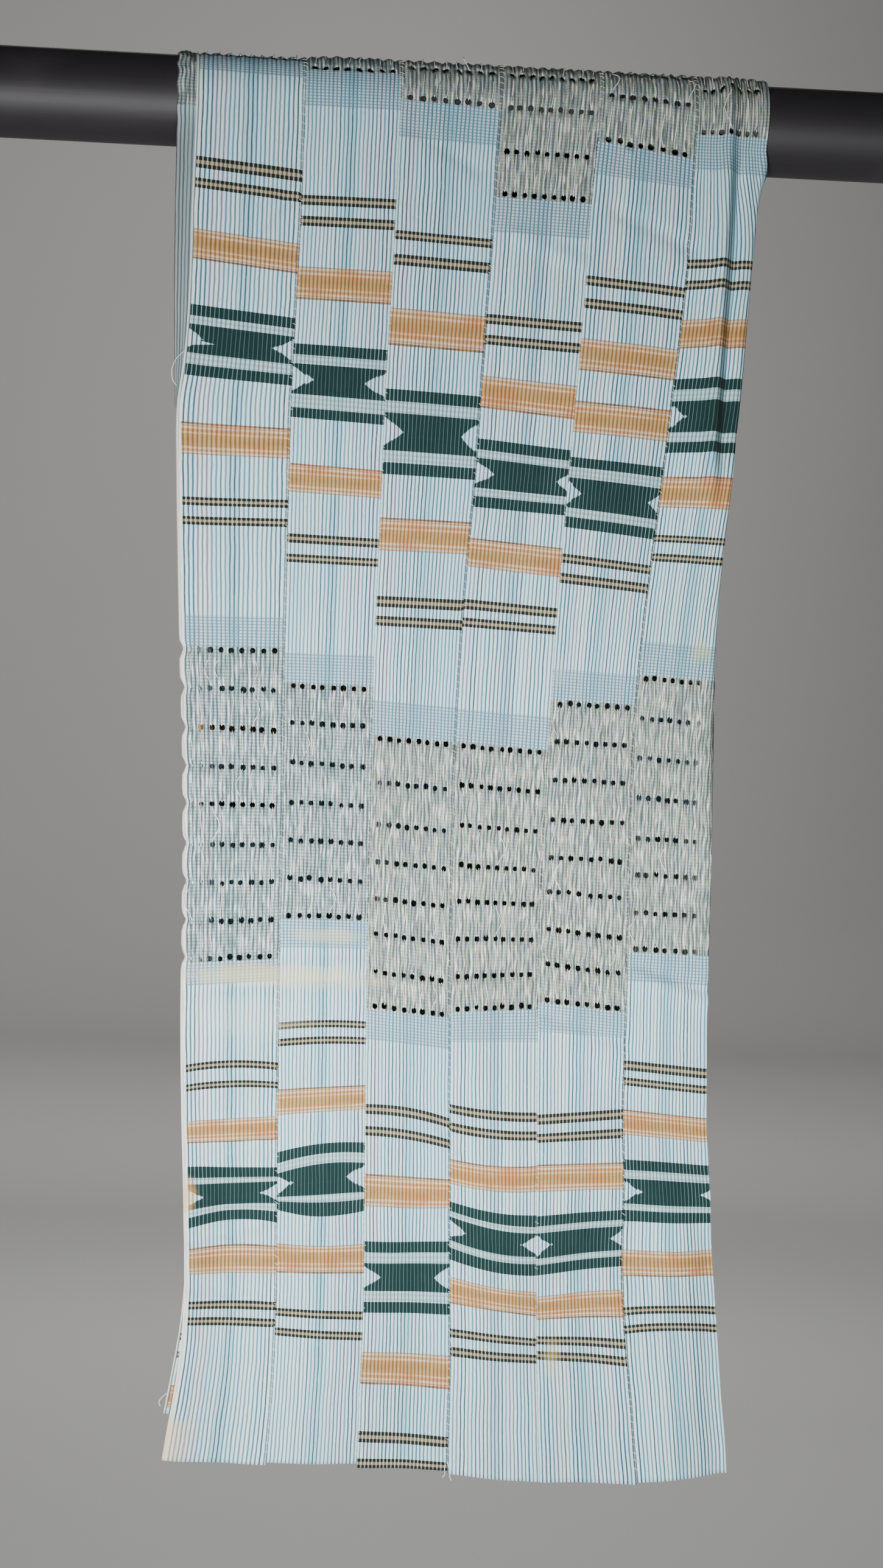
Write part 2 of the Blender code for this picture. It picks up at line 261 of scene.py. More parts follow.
# Main folds, as in the solids: x start, along start, x end, along end, height, width
MAIN_FOLDS = {
    "pleat ridge": Fold(922, 60, 913, 470, 11, 9),
    "pleat valley": Fold(935, 150, 926, 430, -12, 8),
    "crumpled selvedge": Fold(318, 0, 318, 70, 3, 8),
    "folded edge set back": Fold(317, 130, 319, 330, -6, 9),
    "openwork puffed up over the bar": Fold(490, 0, 945, 0, 4, 40),
    "pull below the top": Fold(870, 300, 850, 620, -5, 26),
    "left selvedge lift": Fold(326, 380, 345, 1180, 4, 16),
    "left flare": Fold(366, 1290, 345, 1640, 9, 24),
    "first hem wave": Fold(418, 1330, 412, 1640, -7, 30),
    "second hem wave": Fold(508, 1300, 503, 1640, 6, 34),
    "third hem wave": Fold(612, 1340, 606, 1640, -6, 32),
    "fourth hem wave": Fold(706, 1300, 708, 1640, 7, 36),
    "fifth hem wave": Fold(803, 1330, 812, 1640, -6, 32),
    "sixth hem wave": Fold(890, 1290, 905, 1640, 7, 34),
    "right flare": Fold(945, 1330, 966, 1640, -8, 20),
    "sag under the openwork": Fold(340, 1130, 560, 1105, -5, 30),
    "swell over the left motif": Fold(340, 1205, 560, 1170, 5, 32),
    "trough through the left motif": Fold(340, 1325, 560, 1300, -6, 30),
    "swell over the middle motif": Fold(560, 1215, 830, 1235, 5, 34),
    "trough through the middle motif": Fold(640, 1330, 850, 1345, -6, 32),
    "trough through the right motif": Fold(840, 1175, 940, 1195, -4, 30),
    "swell over the right motif": Fold(840, 1270, 945, 1280, 5, 34),
    "long billow": Fold(560, 420, 600, 1120, 5, 90),
    "long hollow": Fold(740, 420, 720, 1120, -4, 70),
    "back ridge": Fold(470, -260, 455, -1640, 9, 60),
    "back hollow": Fold(620, -260, 640, -1640, -8, 60),
    "back ridge on the right": Fold(800, -260, 815, -1640, 9, 70),
}

# Finer creases that only the finished cloth has
CREASES = {
    "cloth behind the pleat": Fold(962, 60, 953, 430, -15, 24, 40),
    "wedge crease on strip 1": Fold(352, 1262, 432, 1228, -5.0, 7, 20),
    "lower crease on strip 1": Fold(352, 1338, 456, 1312, -4.8, 7, 20),
    "lower crease on strip 2": Fold(456, 1316, 556, 1282, 4.5, 8, 20),
    "third crease on strip 1": Fold(352, 1382, 440, 1398, -3.6, 8, 20),
    "fold line below the openwork": Fold(345, 1062, 556, 1040, -4.2, 6, 20),
    "lip of that fold line": Fold(345, 1050, 556, 1028, 3.4, 7, 20),
    "diagonal crease on strip 6": Fold(842, 1018, 925, 1047, -5.0, 6, 14),
    "lip of the diagonal crease": Fold(842, 1030, 925, 1060, 3.6, 8, 14),
    "crease on strip 5": Fold(742, 1012, 838, 1028, -4.5, 5, 14),
    "second crease on strip 5": Fold(742, 1075, 838, 1108, -3.9, 7, 14),
    "small crease near the top of strip 1": Fold(398, 238, 432, 194, -3.4, 5, 16),
    "crease on strip 3": Fold(560, 104, 640, 150, -3.9, 7, 20),
    "crease on strip 5 near the top": Fold(800, 190, 880, 225, -4.5, 8, 20),
    "crease on strip 4 near the top": Fold(690, 222, 760, 250, 3.4, 8, 20),
    "crease under the left motif": Fold(352, 1395, 460, 1385, 3.1, 9, 20),
    "trough in the left bars": Fold(352, 1296, 400, 1296, -3.4, 7, 18),
    "bend in the middle bars": Fold(650, 1302, 700, 1322, -4.2, 9, 22),
    "bend in strip 5 bars": Fold(745, 1305, 842, 1300, 3.4, 9, 18),
    "dip at strip 3 lines": Fold(640, 1205, 662, 1230, -4.5, 9, 20),
}


class ClothForm:
    """The shape that the cloth hangs in."""

    def __init__(self, sizes: ClothSizes) -> None:
        """Reads the tables.

        Args:
            sizes: the cloth's driving sizes.
        """
        self.sizes = sizes
        self.edges = curves(EDGE_ROWS)
        self.back_shift = curves(BACK_SHIFT_ROWS)[0]
        self.folded = curves(FOLDED_ROWS)[0]
        self.turn = curves(TURN_ROWS)[0]
        self.weft = {strip: curves(rows) for strip, rows in WEFT_ROWS.items()}
        rows = [row for row in HOLE_ROWS[1] if row > sizes.quarter]
        self.notch_rows = np.array(rows, dtype=float)

    def edge(self, number: int, along: np.ndarray) -> np.ndarray:
        """Gives x of an edge line, from 0 at the left selvedge to 6 at the right one.

        Args:
            number: the line's number.
            along: distance down the cloth, in millimetres; negative is the back.

        Returns:
            Its x, in millimetres.
        """
        x = self.edges[number].read(np.abs(along))
        back = along < 0
        x = x + np.where(back, self.back_shift.read(-along), 0.0)
        return x + self.scallop(along) if number == 0 else x

    def scallop(self, along: np.ndarray) -> np.ndarray:
        """Gives how far the rows of openwork draw in the left selvedge of the front."""
        gaps = np.abs(along[..., None] - self.notch_rows).min(axis=-1) / self.sizes.notch_length
        return np.where(along < 0, 0.0, self.sizes.notch_depth * np.exp(-(gaps**2) * 2.0))

    def turned(self, along: np.ndarray) -> np.ndarray:
        """Gives the width of the last strip that is turned back."""
        return np.maximum(0.0, self.turn.read(along))

    def along(self, strip: int, mark: np.ndarray, across: np.ndarray) -> np.ndarray:
        """Gives the distance down the cloth of a weft line at a share of the strip's width.

        Args:
            strip: the strip's number, from 1.
            mark: the weft line's own mark, in millimetres.
            across: share of the strip's width.

        Returns:
            The distance from the top of the bar, in millimetres.
        """
        tilt, bow = (curve.read(mark) for curve in self.weft[strip])
        share = np.minimum(across, 1.0)
        return mark + tilt * (share - 0.5) + bow * (1.0 - (2.0 * share - 1.0) ** 2)

    def outward(self, x: np.ndarray, along: np.ndarray) -> np.ndarray:
        """Adds up the folds, creases and the slight unevenness of the cloth.

        Args:
            x: across the cloth, in millimetres.
            along: along it, in millimetres.

        Returns:
            The height outward from the plain hang, in millimetres.
        """
        total = sum(fold.height_at(x, along) for fold in MAIN_FOLDS.values())
        total = total + sum(fold.height_at(x, along) for fold in CREASES.values())
        ripple = np.sin(x / 17.0 + along / 61.0) * np.sin(along / 43.0 - x / 90.0 + 1.3)
        ripple += 0.6 * np.sin(x / 9.0 - along / 37.0 + 0.7) * np.sin(along / 19.0 + 2.1)
        off_bar = 1.0 - fade(np.abs(along) - self.sizes.quarter, 70.0)
        total = total + 0.35 * ripple * off_bar
        for number in range(1, STRIPS):
            side = np.abs(x - self.edge(number, along))
            total = total - 0.8 * np.exp(-((side / 3.0) ** 2)) * off_bar
        return np.where(total < 0.0, total * off_bar, total)

    def turned_offset(self, along: np.ndarray, share: np.ndarray) -> tuple[np.ndarray, np.ndarray]:
        """Gives how far sideways and inward the cloth has gone past the last strip's bend.

        Args:
            along: along the cloth, in millimetres.
            share: from 0 where the bend starts to 1 at the selvedge.

        Returns:
            Sideways and inward, in millimetres.
        """
        sizes = self.sizes
        turned = self.turned(along)
        run = (sizes.turn_radius + turned) * share
        bend = sizes.turn_radius * sizes.turn_angle
        angle = np.maximum(sizes.turn_angle * np.minimum(turned / sizes.full_turn, 1.0), 0.004)
        rate = angle / bend
        curved, straight = np.minimum(run, bend), np.maximum(run - bend, 0.0)
        sideways = np.sin(rate * curved) / rate + straight * np.cos(angle)
        inward = (1.0 - np.cos(rate * curved)) / rate + straight * np.sin(angle)
        return sideways, inward

    def place(self, strip: int, mark: np.ndarray, across: np.ndarray, lift: float = 0.0) -> np.ndarray:
        """Places points of the middle of the cloth.

        Args:
            strip: the strip's number, from 1.
            mark: along the strip, in millimetres.
            across: share across; past 1 it is on the turned part of the last strip, up to 2.
            lift: how far outward from the cloth, in millimetres.

        Returns:
            The points, in metres.
        """
        sizes = self.sizes
        along = self.along(strip, mark, across)
        left = self.edge(strip - 1, along) + (sizes.seam_gap / 2.0 if strip > 1 else self.folded.read(along))
        inset = sizes.turn_radius if strip == STRIPS else sizes.seam_gap / 2.0
        right = self.edge(strip, along) - inset
        x = left + (right - left) * np.minimum(across, 1.0)
        if strip == 1:
            drawn = self.scallop(along)
            x = x - drawn * (1.0 - across) + drawn * np.exp(-across / 0.05)
        outward = self.outward(x, along) + lift
        if strip == STRIPS:
            sideways, inward = self.turned_offset(along, np.clip(across - 1.0, 0.0, 1.0))
            past = across > 1.0
            x = np.where(past, x + sideways, x)
            outward = np.where(past, outward - inward, outward)
        return self.hung(x, along, outward)

    def hung(self, x: np.ndarray, along: np.ndarray, outward: np.ndarray) -> np.ndarray:
        """Turns x, distance along and height outward into points, in metres.

        Args:
            x: across the cloth, in millimetres.
            along: distance from the top of the bar, in millimetres.
            outward: height outward, in millimetres.

        Returns:
            The points.
        """
        sizes = self.sizes
        radius = sizes.wrap_radius + outward
        angle = along / sizes.wrap_radius
        on_bar = np.abs(along) <= sizes.quarter
        side = np.where(along > 0, -1.0, 1.0)
        y = np.where(on_bar, -radius * np.sin(angle), side * radius)
        z = np.where(on_bar, radius * np.cos(angle), sizes.quarter - np.abs(along))
        return np.stack([x, y, z], axis=-1) * MM

    def normal(self, strip: int, mark: np.ndarray, across: np.ndarray) -> np.ndarray:
        """Gives the outward direction of the cloth at places on it.

        Args:
            strip: the strip's number, from 1.
            mark: along the strip, in millimetres.
            across: share across.

        Returns:
            Unit directions.
        """
        run_across = self.place(strip, mark, across + 0.01) - self.place(strip, mark, across - 0.01)
        run_along = self.place(strip, mark + 1.0, across) - self.place(strip, mark - 1.0, across)
        normal = np.cross(run_along, run_across)
        return normal / np.linalg.norm(normal, axis=-1, keepdims=True)


# Pattern of the strips


class BandKind(IntEnum):
    """What is woven into a stretch of a strip."""

    PLAIN = 0
    LINE = 1
    ORANGE = 2
    ORANGE_TURNED = 3
    BAR = 4
    BEADED = 5
    HOURGLASS = 6
    CHECK = 7
    OPENWORK = 8


@dataclass(frozen=True)
class Band:
    """A stretch of one strip with one kind of weave, from one mark to another.

    The notches are how far light triangles reach in from the left and right selvedges, as a share of
    the strip's width. Only an hourglass has them.
    """

    kind: BandKind
    start: float
    end: float
    notches: tuple[float, float] = (0.0, 0.0)


# Rows of holes that show at the front, by mark along each strip
HOLE_ROWS = {
    1: (24, 690, 732, 775, 817, 858, 902, 943, 985, 1025),
    2: (2, 44, 727, 767, 811, 854, 895, 937, 977),
    3: (36, 78, 783, 831, 877, 918, 959, 998, 1040, 1077),
    4: (40, 82, 131, 178, 788, 831, 875, 918, 957, 997, 1037, 1072),
    5: (22, 64, 117, 736, 778, 820, 864, 906, 945, 988, 1027, 1066),
    6: (3, 45, 97, 706, 750, 794, 838, 882, 922, 964, 1004),
}
HOLES_IN_A_ROW = {1: 9, 2: 8, 3: 8, 4: 9, 5: 8, 6: 7}
BACK_ROW_PITCH = {1: 45.0, 2: 40.25, 3: 38.5, 4: 43.0, 5: 42.75, 6: 43.25}
ROWS_IN_A_GROUP = 9

# Rows above this mark belong to the group over the bar; the weave opens this far past a group's rows
FIRST_GROUP_END = 300
PAST_A_GROUP = 4.0

# Two green bands this far apart, in millimetres, have a beaded light band between them
BEADED_GAP = (2.0, 25.0)

# Bands of the front: start and end mark of each, by kind
BAND_ROWS = {
    1: {
        BandKind.CHECK: ((28, 58), (652, 686), (1029, 1054)),
        BandKind.LINE: (
            (157, 170), (181, 192), (524, 533), (545, 554),
            (1142, 1150), (1163, 1170), (1400, 1409), (1418, 1427),
        ),
        BandKind.ORANGE: ((237, 270), (1201, 1226)),
        BandKind.ORANGE_TURNED: ((444, 478), (1342, 1370)),
        BandKind.BAR: ((319, 331), (383, 395), (1254, 1265), (1307, 1319)),
        BandKind.HOURGLASS: ((340, 371), (1271, 1298)),
    },
    2: {
        BandKind.CHECK: ((48, 91), (690, 723), (981, 1012)),
        BandKind.LINE: (
            (189, 200), (212, 223), (561, 571), (583, 592),
            (1093, 1101), (1111, 1119), (1408, 1417), (1430, 1439),
        ),
        BandKind.ORANGE: ((268, 304), (1336, 1368)),
        BandKind.ORANGE_TURNED: ((485, 516), (1164, 1191)),
        BandKind.BAR: ((353, 365), (424, 435), (1230, 1242), (1288, 1300)),
        BandKind.HOURGLASS: ((375, 409), (1253, 1282)),
    },
    3: {
        BandKind.CHECK: ((82, 123), (741, 779), (1081, 1115)),
        BandKind.LINE: (
            (225, 235), (251, 263), (625, 637), (647, 658),
            (1188, 1199), (1212, 1222), (1543, 1555), (1572, 1582),
        ),
        BandKind.ORANGE: ((310, 351), (1455, 1491)),
        BandKind.ORANGE_TURNED: ((539, 575), (1260, 1294)),
        BandKind.BAR: ((399, 412), (479, 492), (1332, 1344), (1399, 1411)),
        BandKind.HOURGLASS: ((425, 466), (1356, 1387)),
    },
    4: {
        BandKind.CHECK: ((182, 221), (747, 784), (1076, 1110)),
        BandKind.LINE: (
            (312, 323), (335, 346), (627, 638), (647, 657),
            (1183, 1193), (1203, 1213), (1431, 1440), (1450, 1460),
        ),
        BandKind.ORANGE: ((381, 417), (1377, 1405)),
        BandKind.ORANGE_TURNED: ((560, 592), (1242, 1270)),
        BandKind.BAR: ((451, 463), (513, 525), (1293, 1305), (1346, 1359)),
        BandKind.HOURGLASS: ((472, 504), (1312, 1338)),
    },
    5: {
        BandKind.CHECK: ((121, 155), (699, 732), (1070, 1100)),
        BandKind.LINE: (
            (266, 277), (291, 302), (574, 584), (595, 606),
            (1185, 1196), (1206, 1216), (1434, 1444), (1452, 1462),
        ),
        BandKind.ORANGE: ((335, 370), (1385, 1413)),
        BandKind.ORANGE_TURNED: ((403, 438), (1241, 1271)),
        BandKind.BAR: ((466, 477), (533, 545), (1296, 1307), (1350, 1361)),
        BandKind.HOURGLASS: ((489, 523), (1315, 1343)),
    },
    6: {
        BandKind.CHECK: ((101, 140), (665, 702), (1008, 1041)),
        BandKind.LINE: (
            (237, 247), (260, 270), (545, 553), (566, 575),
            (1130, 1141), (1149, 1158), (1399, 1408), (1419, 1428),
        ),
        BandKind.ORANGE: ((303, 335), (1336, 1365)),
        BandKind.ORANGE_TURNED: ((479, 514), (1185, 1212)),
        BandKind.BAR: ((369, 381), (440, 452), (1238, 1249), (1292, 1304)),
        BandKind.HOURGLASS: ((394, 429), (1258, 1285)),
    },
}

# Reach of the notches of each strip's two hourglasses, upper then lower: left, right
NOTCH_ROWS = {
    1: ((0.29, 0.19), (0.22, 0.18)),
    2: ((0.24, 0.23), (0.18, 0.21)),
    3: ((0.21, 0.19), (0.20, 0.19)),
    4: ((0.22, 0.15), (0.20, 0.19)),
    5: ((0.17, 0.14), (0.19, 0.15)),
    6: ((0.18, 0.10), (0.21, 0.11)),
}


class StripPattern:
    """The woven bands and the rows of holes of one strip, front and back."""

    def __init__(self, strip: int) -> None:
        """Works out the bands and rows of a strip.

        Args:
            strip: the strip's number, from 1.
        """
        self.strip = strip
        self.hems = (float(WEFT_ROWS[strip][0][0]), float(WEFT_ROWS[strip][-1][0]))
        front = HOLE_ROWS[strip]
        self.top_row = max(row for row in front if row < FIRST_GROUP_END)
        lower = [float(row) for row in front if row > FIRST_GROUP_END]
        top = [self.top_row - BACK_ROW_PITCH[strip] * i for i in range(ROWS_IN_A_GROUP)]
        shown = [float(row) for row in front if row < FIRST_GROUP_END]
        top[: len(shown)] = sorted(shown, reverse=True)
        self.last_row = top[-1]
        back = [self.mirrored(row) for row in lower]
        self.groups = [sorted(lower), sorted(top), sorted(back)]
        self.rows = sorted(row for group in self.groups for row in group)
        self.bands = self.all_bands()

    def mirrored(self, mark: float) -> float:
        """Gives the mark at the back that repeats a mark of the front."""
        return self.last_row - (mark - self.top_row)

    def all_bands(self) -> list[Band]:
        """Lists the bands of the front and their repeat at the back, in order along the strip.

        Returns:
            The bands.
        """
        bands = []
        for kind, spans in BAND_ROWS[self.strip].items():
            for i, (start, end) in enumerate(spans):
                notches = NOTCH_ROWS[self.strip][i] if kind == BandKind.HOURGLASS else (0.0, 0.0)
                bands.append(Band(kind, float(start), float(end), notches))
                back = (self.mirrored(end), self.mirrored(start))
                if back[0] > self.hems[0]:
                    bands.append(Band(kind, *back, notches))
        greens = sorted(
            (band for band in bands if band.kind in (BandKind.BAR, BandKind.HOURGLASS)),
            key=lambda band: band.start,
        )
        for first, second in zip(greens, greens[1:]):
            if BEADED_GAP[0] < second.start - first.end < BEADED_GAP[1]:
                bands.append(Band(BandKind.BEADED, first.end, second.start))
        for group in self.groups:
            bands.append(Band(BandKind.OPENWORK, group[0] - PAST_A_GROUP, group[-1] + PAST_A_GROUP))
        return sorted(bands, key=lambda band: band.start)

    def band_at(self, mark: float) -> Band:
        """Finds the band that a mark lies in; openwork gives way to any other.

        Args:
            mark: the place along the strip, in millimetres.

        Returns:
            The band.
        """
        found = [band for band in self.bands if band.start <= mark <= band.end]
        found.sort(key=lambda band: band.kind == BandKind.OPENWORK)
        return found[0] if found else Band(BandKind.PLAIN, mark - 1.0, mark + 1.0)


# Finishes


Socket = bpy.types.NodeSocket
Value = Union[Socket, float, tuple[float, ...]]


class Node(Enum):
    """Kinds of node: type, settings, the sockets that take a call's values in order, and the output read."""

    ADD = ("ShaderNodeMath", {"operation": "ADD"}, (0, 1), 0)
    SUBTRACT = ("ShaderNodeMath", {"operation": "SUBTRACT"}, (0, 1), 0)
    MULTIPLY = ("ShaderNodeMath", {"operation": "MULTIPLY"}, (0, 1), 0)
    MULTIPLY_ADD = ("ShaderNodeMath", {"operation": "MULTIPLY_ADD"}, (0, 1, 2), 0)
    DIVIDE = ("ShaderNodeMath", {"operation": "DIVIDE"}, (0, 1), 0)
    POWER = ("ShaderNodeMath", {"operation": "POWER"}, (0, 1), 0)
    SQUARE_ROOT = ("ShaderNodeMath", {"operation": "SQRT"}, (0,), 0)
    ABSOLUTE = ("ShaderNodeMath", {"operation": "ABSOLUTE"}, (0,), 0)
    COSINE = ("ShaderNodeMath", {"operation": "COSINE"}, (0,), 0)
    FLOOR = ("ShaderNodeMath", {"operation": "FLOOR"}, (0,), 0)
    FRACTION = ("ShaderNodeMath", {"operation": "FRACT"}, (0,), 0)
    MINIMUM = ("ShaderNodeMath", {"operation": "MINIMUM"}, (0, 1), 0)
    MAXIMUM = ("ShaderNodeMath", {"operation": "MAXIMUM"}, (0, 1), 0)
    EXCEEDS = ("ShaderNodeMath", {"operation": "GREATER_THAN"}, (0, 1), 0)
    EQUALS = ("ShaderNodeMath", {"operation": "COMPARE"}, (0, 1, 2), 0)
    STEP = ("ShaderNodeMapRange", {"interpolation_type": "SMOOTHSTEP"}, ("Value", "From Min", "From Max"), 0)
    RAMP = ("ShaderNodeValToRGB", {}, ("Fac",), 0)
    MIX = ("ShaderNodeMix", {"data_type": "RGBA"}, (0, 6, 7), 2)
    TINT = ("ShaderNodeMix", {"data_type": "RGBA", "blend_type": "MULTIPLY"}, (0, 6, 7), 2)
    NOISE = ("ShaderNodeTexNoise", {}, ("Vector", "Scale", "Detail"), 0)
    CHANCE = ("ShaderNodeTexWhiteNoise", {"noise_dimensions": "1D"}, ("W",), 0)
    SCALED = ("ShaderNodeVectorMath", {"operation": "MULTIPLY"}, (0, 1), 0)
    MAP = ("ShaderNodeUVMap", {}, (), 0)
    PLACE = ("ShaderNodeTexCoord", {}, (), "Object")
    X = ("ShaderNodeSeparateXYZ", {}, (0,), 0)
    Y = ("ShaderNodeSeparateXYZ", {}, (0,), 1)
    Z = ("ShaderNodeSeparateXYZ", {}, (0,), 2)
    BUMP = ("ShaderNodeBump", {}, ("Height", "Distance", "Strength"), 0)


def add_node(
    tree: bpy.types.NodeTree,
    node: Node,
    *values: Value,
    stops: tuple[tuple[float, str], ...] = (),
    banded: bool = False,
    **settings: str,
) -> Socket:
    """Adds a node with its settings and links.

    Args:
        tree: the material's nodes.
        node: the kind of node.
        values: what its sockets take in order, each a number, a colour or the socket to link from.
        stops: place and hex colour of each stop, on a ramp.
        banded: whether the ramp's colours change at once instead of blending.
        settings: settings of this node alone.

    Returns:
        The output that its kind reads.
    """
    kind, standard, sockets, output = node.value
    made = tree.nodes.new(kind)
    for name, setting in (standard | settings).items():
        setattr(made, name, setting)
    for socket, value in zip(sockets, values):
        if isinstance(value, Socket):
            tree.links.new(value, made.inputs[socket])
        else:
            made.inputs[socket].default_value = value
    if stops:
        bar = made.color_ramp
        bar.interpolation = "CONSTANT" if banded else "LINEAR"
        while len(bar.elements) < len(stops):
            bar.elements.new(1.0)
        for element, (place, code) in zip(bar.elements, stops):
            element.position, element.color = place, linear(code)
    return made.outputs[output]


class Finish:
    """A material: a name, the shader's own numbers, a colour and a relief."""

    name = "plain"
    roughness = 0.5
    sheen = 0.0
    sheen_roughness = 0.6
    gloss = 0.5
    relief_depth = 0.0
    relief_strength = 0.0

    def __init__(self) -> None:
        """Starts the material under the finish's name."""
        self.material = bpy.data.materials.new(self.name)
        self.material.use_nodes = True
        self.tree = self.material.node_tree

    def add(self, node: Node, *values: Value, **options: Any) -> Socket:
        """Adds a node to this material, as add_node does."""
        return add_node(self.tree, node, *values, **options)

    def colour(self) -> Socket:
        """Gives the colour; each finish has its own."""
        raise NotImplementedError

    def height(self) -> Socket | None:
        """Gives the height of the relief, or nothing where the finish is smooth."""
        return None

    def make(self) -> bpy.types.Material:
        """Joins the colour, the relief and the numbers to the shader.

        Returns:
            The finished material.
        """
        shader = self.tree.nodes["Principled BSDF"]
        self.tree.links.new(self.colour(), shader.inputs["Base Color"])
        height = self.height()
        if height is not None:
            bump = self.add(Node.BUMP, height, self.relief_depth, self.relief_strength)
            self.tree.links.new(bump, shader.inputs["Normal"])
        numbers = {
            "Roughness": self.roughness,
            "Sheen Weight": self.sheen,
            "Sheen Roughness": self.sheen_roughness,
            "Specular IOR Level": self.gloss,
        }
        for name, number in numbers.items():
            shader.inputs[name].default_value = number
        return self.material


@dataclass(frozen=True)
class Stain:
    """A discoloured patch, by its place on the front and its reach, in millimetres."""

    x: float
    along: float
    reach_x: float
    reach_along: float
    colour: str
    strength: float


STAINS = (
    Stain(448, 1044, 118, 14, "#D2C78E", 0.95),
    Stain(362, 1286, 9, 22, "#D2A04F", 0.85),
    Stain(350, 1556, 22, 34, "#DFC08E", 0.8),
    Stain(768, 1460, 9, 22, "#CDBB6E", 0.5),
    Stain(908, 672, 11, 12, "#BDBD72", 0.65),
    Stain(505, 998, 36, 9, "#D0C993", 0.7),
    Stain(752, 700, 8, 18, "#CFC3AC", 0.35),
    Stain(424, 1092, 60, 22, "#D3D3B4", 0.3),
)


class CottonWeave(Finish):
    """Cotton spun and woven by hand, matte, with a striped warp and the bands that each strip's map calls for.

    A dark line every 4.4 mm runs down the warp and crosses every band, which gives the eye fine upright
    stripes. The real threads are about 0.4 mm apart, too fine for a view of the whole cloth, so single
    threads are drawn about 1 mm apart, as a soft unevenness. The bands follow the strip's own map, so they
    bend with the cloth. Sizes on the cloth are in metres, and shares run from 0 to 1.
    """

    name = "cotton_handwoven_striped_warp"
    roughness, sheen, gloss = 0.92, 0.03, 0.15
    relief_depth, relief_strength = 0.0005, 0.8
    stripe_pitch = 0.0044
    check_pitch = 0.0034
    openwork_pitch = 0.0036
    beaded_pitch = 0.0052
    white = "#E3F4F9"
    pale_blue = "#A9D8E8"
    lilac = "#C8CCE2"
    cloud_blue = "#B0DBE9"
    turquoise = "#86C4D4"
    line_blue = "#2A4450"
    fleck_grey = "#7E98A5"
    check_blue = "#5D7D8D"
    green = "#173331"
    green_deep = "#102627"
    green_light = "#84A9A9"
    dark = "#1B211B"
    tan = "#A29679"
    cream = "#E8DFD2"

    # Stops of place through the band and colour: tan core, fine light and brown lines on both sides
    orange_stops = (
        (0.0, "#6B5344"), (0.06, "#D6CAB9"), (0.09, "#CDB99F"), (0.115, "#B6854F"), (0.165, "#BC9060"),
        (0.19, "#DEC6A8"), (0.23, "#D2B18A"), (0.26, "#B98349"), (0.34, "#B0834A"), (0.44, "#A07F47"),
        (0.54, "#AC844A"), (0.63, "#BA854A"), (0.665, "#DBBD95"), (0.7, "#CBA074"), (0.73, "#B67B45"),
        (0.79, "#BE8B5A"), (0.82, "#DFC8AA"), (0.865, "#D5BD9D"), (0.885, "#AF8560"), (0.91, "#BA9672"),
        (0.925, "#D6CDBC"), (0.945, "#6B5344"), (1.0, "#6B5344"),
    )
    # Mixed threads of the openwork
    thread_stops = (
        (0.0, "#B4D0B8"), (0.2, "#DAC3A6"), (0.36, "#DCE3DE"), (0.52, "#D0BECB"),
        (0.66, "#AFCFDA"), (0.8, "#E6CDB8"), (0.9, "#C4CCA0"),
    )

    def __init__(self, sizes: ClothSizes) -> None:
        """Reads the maps of the woven pieces and sets out the warp.

        Args:
            sizes: the cloth's driving sizes.
        """
        super().__init__()
        self.sizes = sizes
        self.plane, band, share, notch = (
            self.add(Node.MAP, uv_map=name) for name in ("cloth", "band", "share", "notch")
        )
        self.across, self.along = self.add(Node.X, self.plane), self.add(Node.Y, self.plane)
        self.kind, self.through = self.add(Node.FLOOR, self.add(Node.X, band)), self.add(Node.Y, band)
        self.share, self.strip = self.add(Node.X, share), self.add(Node.Y, share)
        self.left_notch, self.right_notch = self.add(Node.X, notch), self.add(Node.Y, notch)
        self.open_zone = self.is_kind(BandKind.OPENWORK)
        self.stripes = self.count_stripes()
        self.number = self.add(Node.FLOOR, self.stripes)
        off_line = self.add(Node.SUBTRACT, self.add(Node.FRACTION, self.stripes), 0.5)
        off_line = self.add(Node.ABSOLUTE, off_line)
        self.warp_line = self.add(Node.STEP, off_line, 0.25, 0.09)
        self.light_line = self.add(Node.STEP, off_line, 0.27, 0.42)
        self.fleck_line = self.add(Node.STEP, off_line, 0.34, 0.46)
        self.depth = self.add(Node.CHANCE, self.add(Node.ADD, self.number, 57.3))

    def is_kind(self, kind: BandKind) -> Socket:
        """Tells where the map calls for a kind of band."""
        return self.add(Node.EQUALS, self.kind, float(kind), 0.1)

    def patches(self, across: float, along: float, detail: float) -> Socket:
        """Gives soft noise with so many patches to a metre across and along the strip."""
        return self.add(Node.NOISE, self.add(Node.SCALED, self.plane, (across, along, 1.0)), 1.0, detail)

    def near(self, value: Socket, middle: float, far: float, close: float) -> Socket:
        """Rises from zero at the far distance from a middle to one at the close distance.

        Args:
            value: what is measured.
            middle: where it is in the middle.
            far: the distance at which nothing is left.
            close: the distance at which it is full.

        Returns:
            The share.
        """
        off = self.add(Node.ABSOLUTE, self.add(Node.SUBTRACT, value, middle))
        return self.add(Node.STEP, off, far, close)

    def blended(self, first: Socket, second: Value, *shares: Value) -> Socket:
        """Mixes a colour with a second one by the product of some shares.

        Args:
            first: the colour where the product is zero.
            second: the colour, or its hex code, where it is one.
            shares: sockets or numbers that are multiplied.

        Returns:
            The mixed colour.
        """
        factor = shares[0]
        for share in shares[1:]:
            factor = self.add(Node.MULTIPLY, factor, share)
        return self.add(Node.MIX, factor, first, linear(second) if isinstance(second, str) else second)

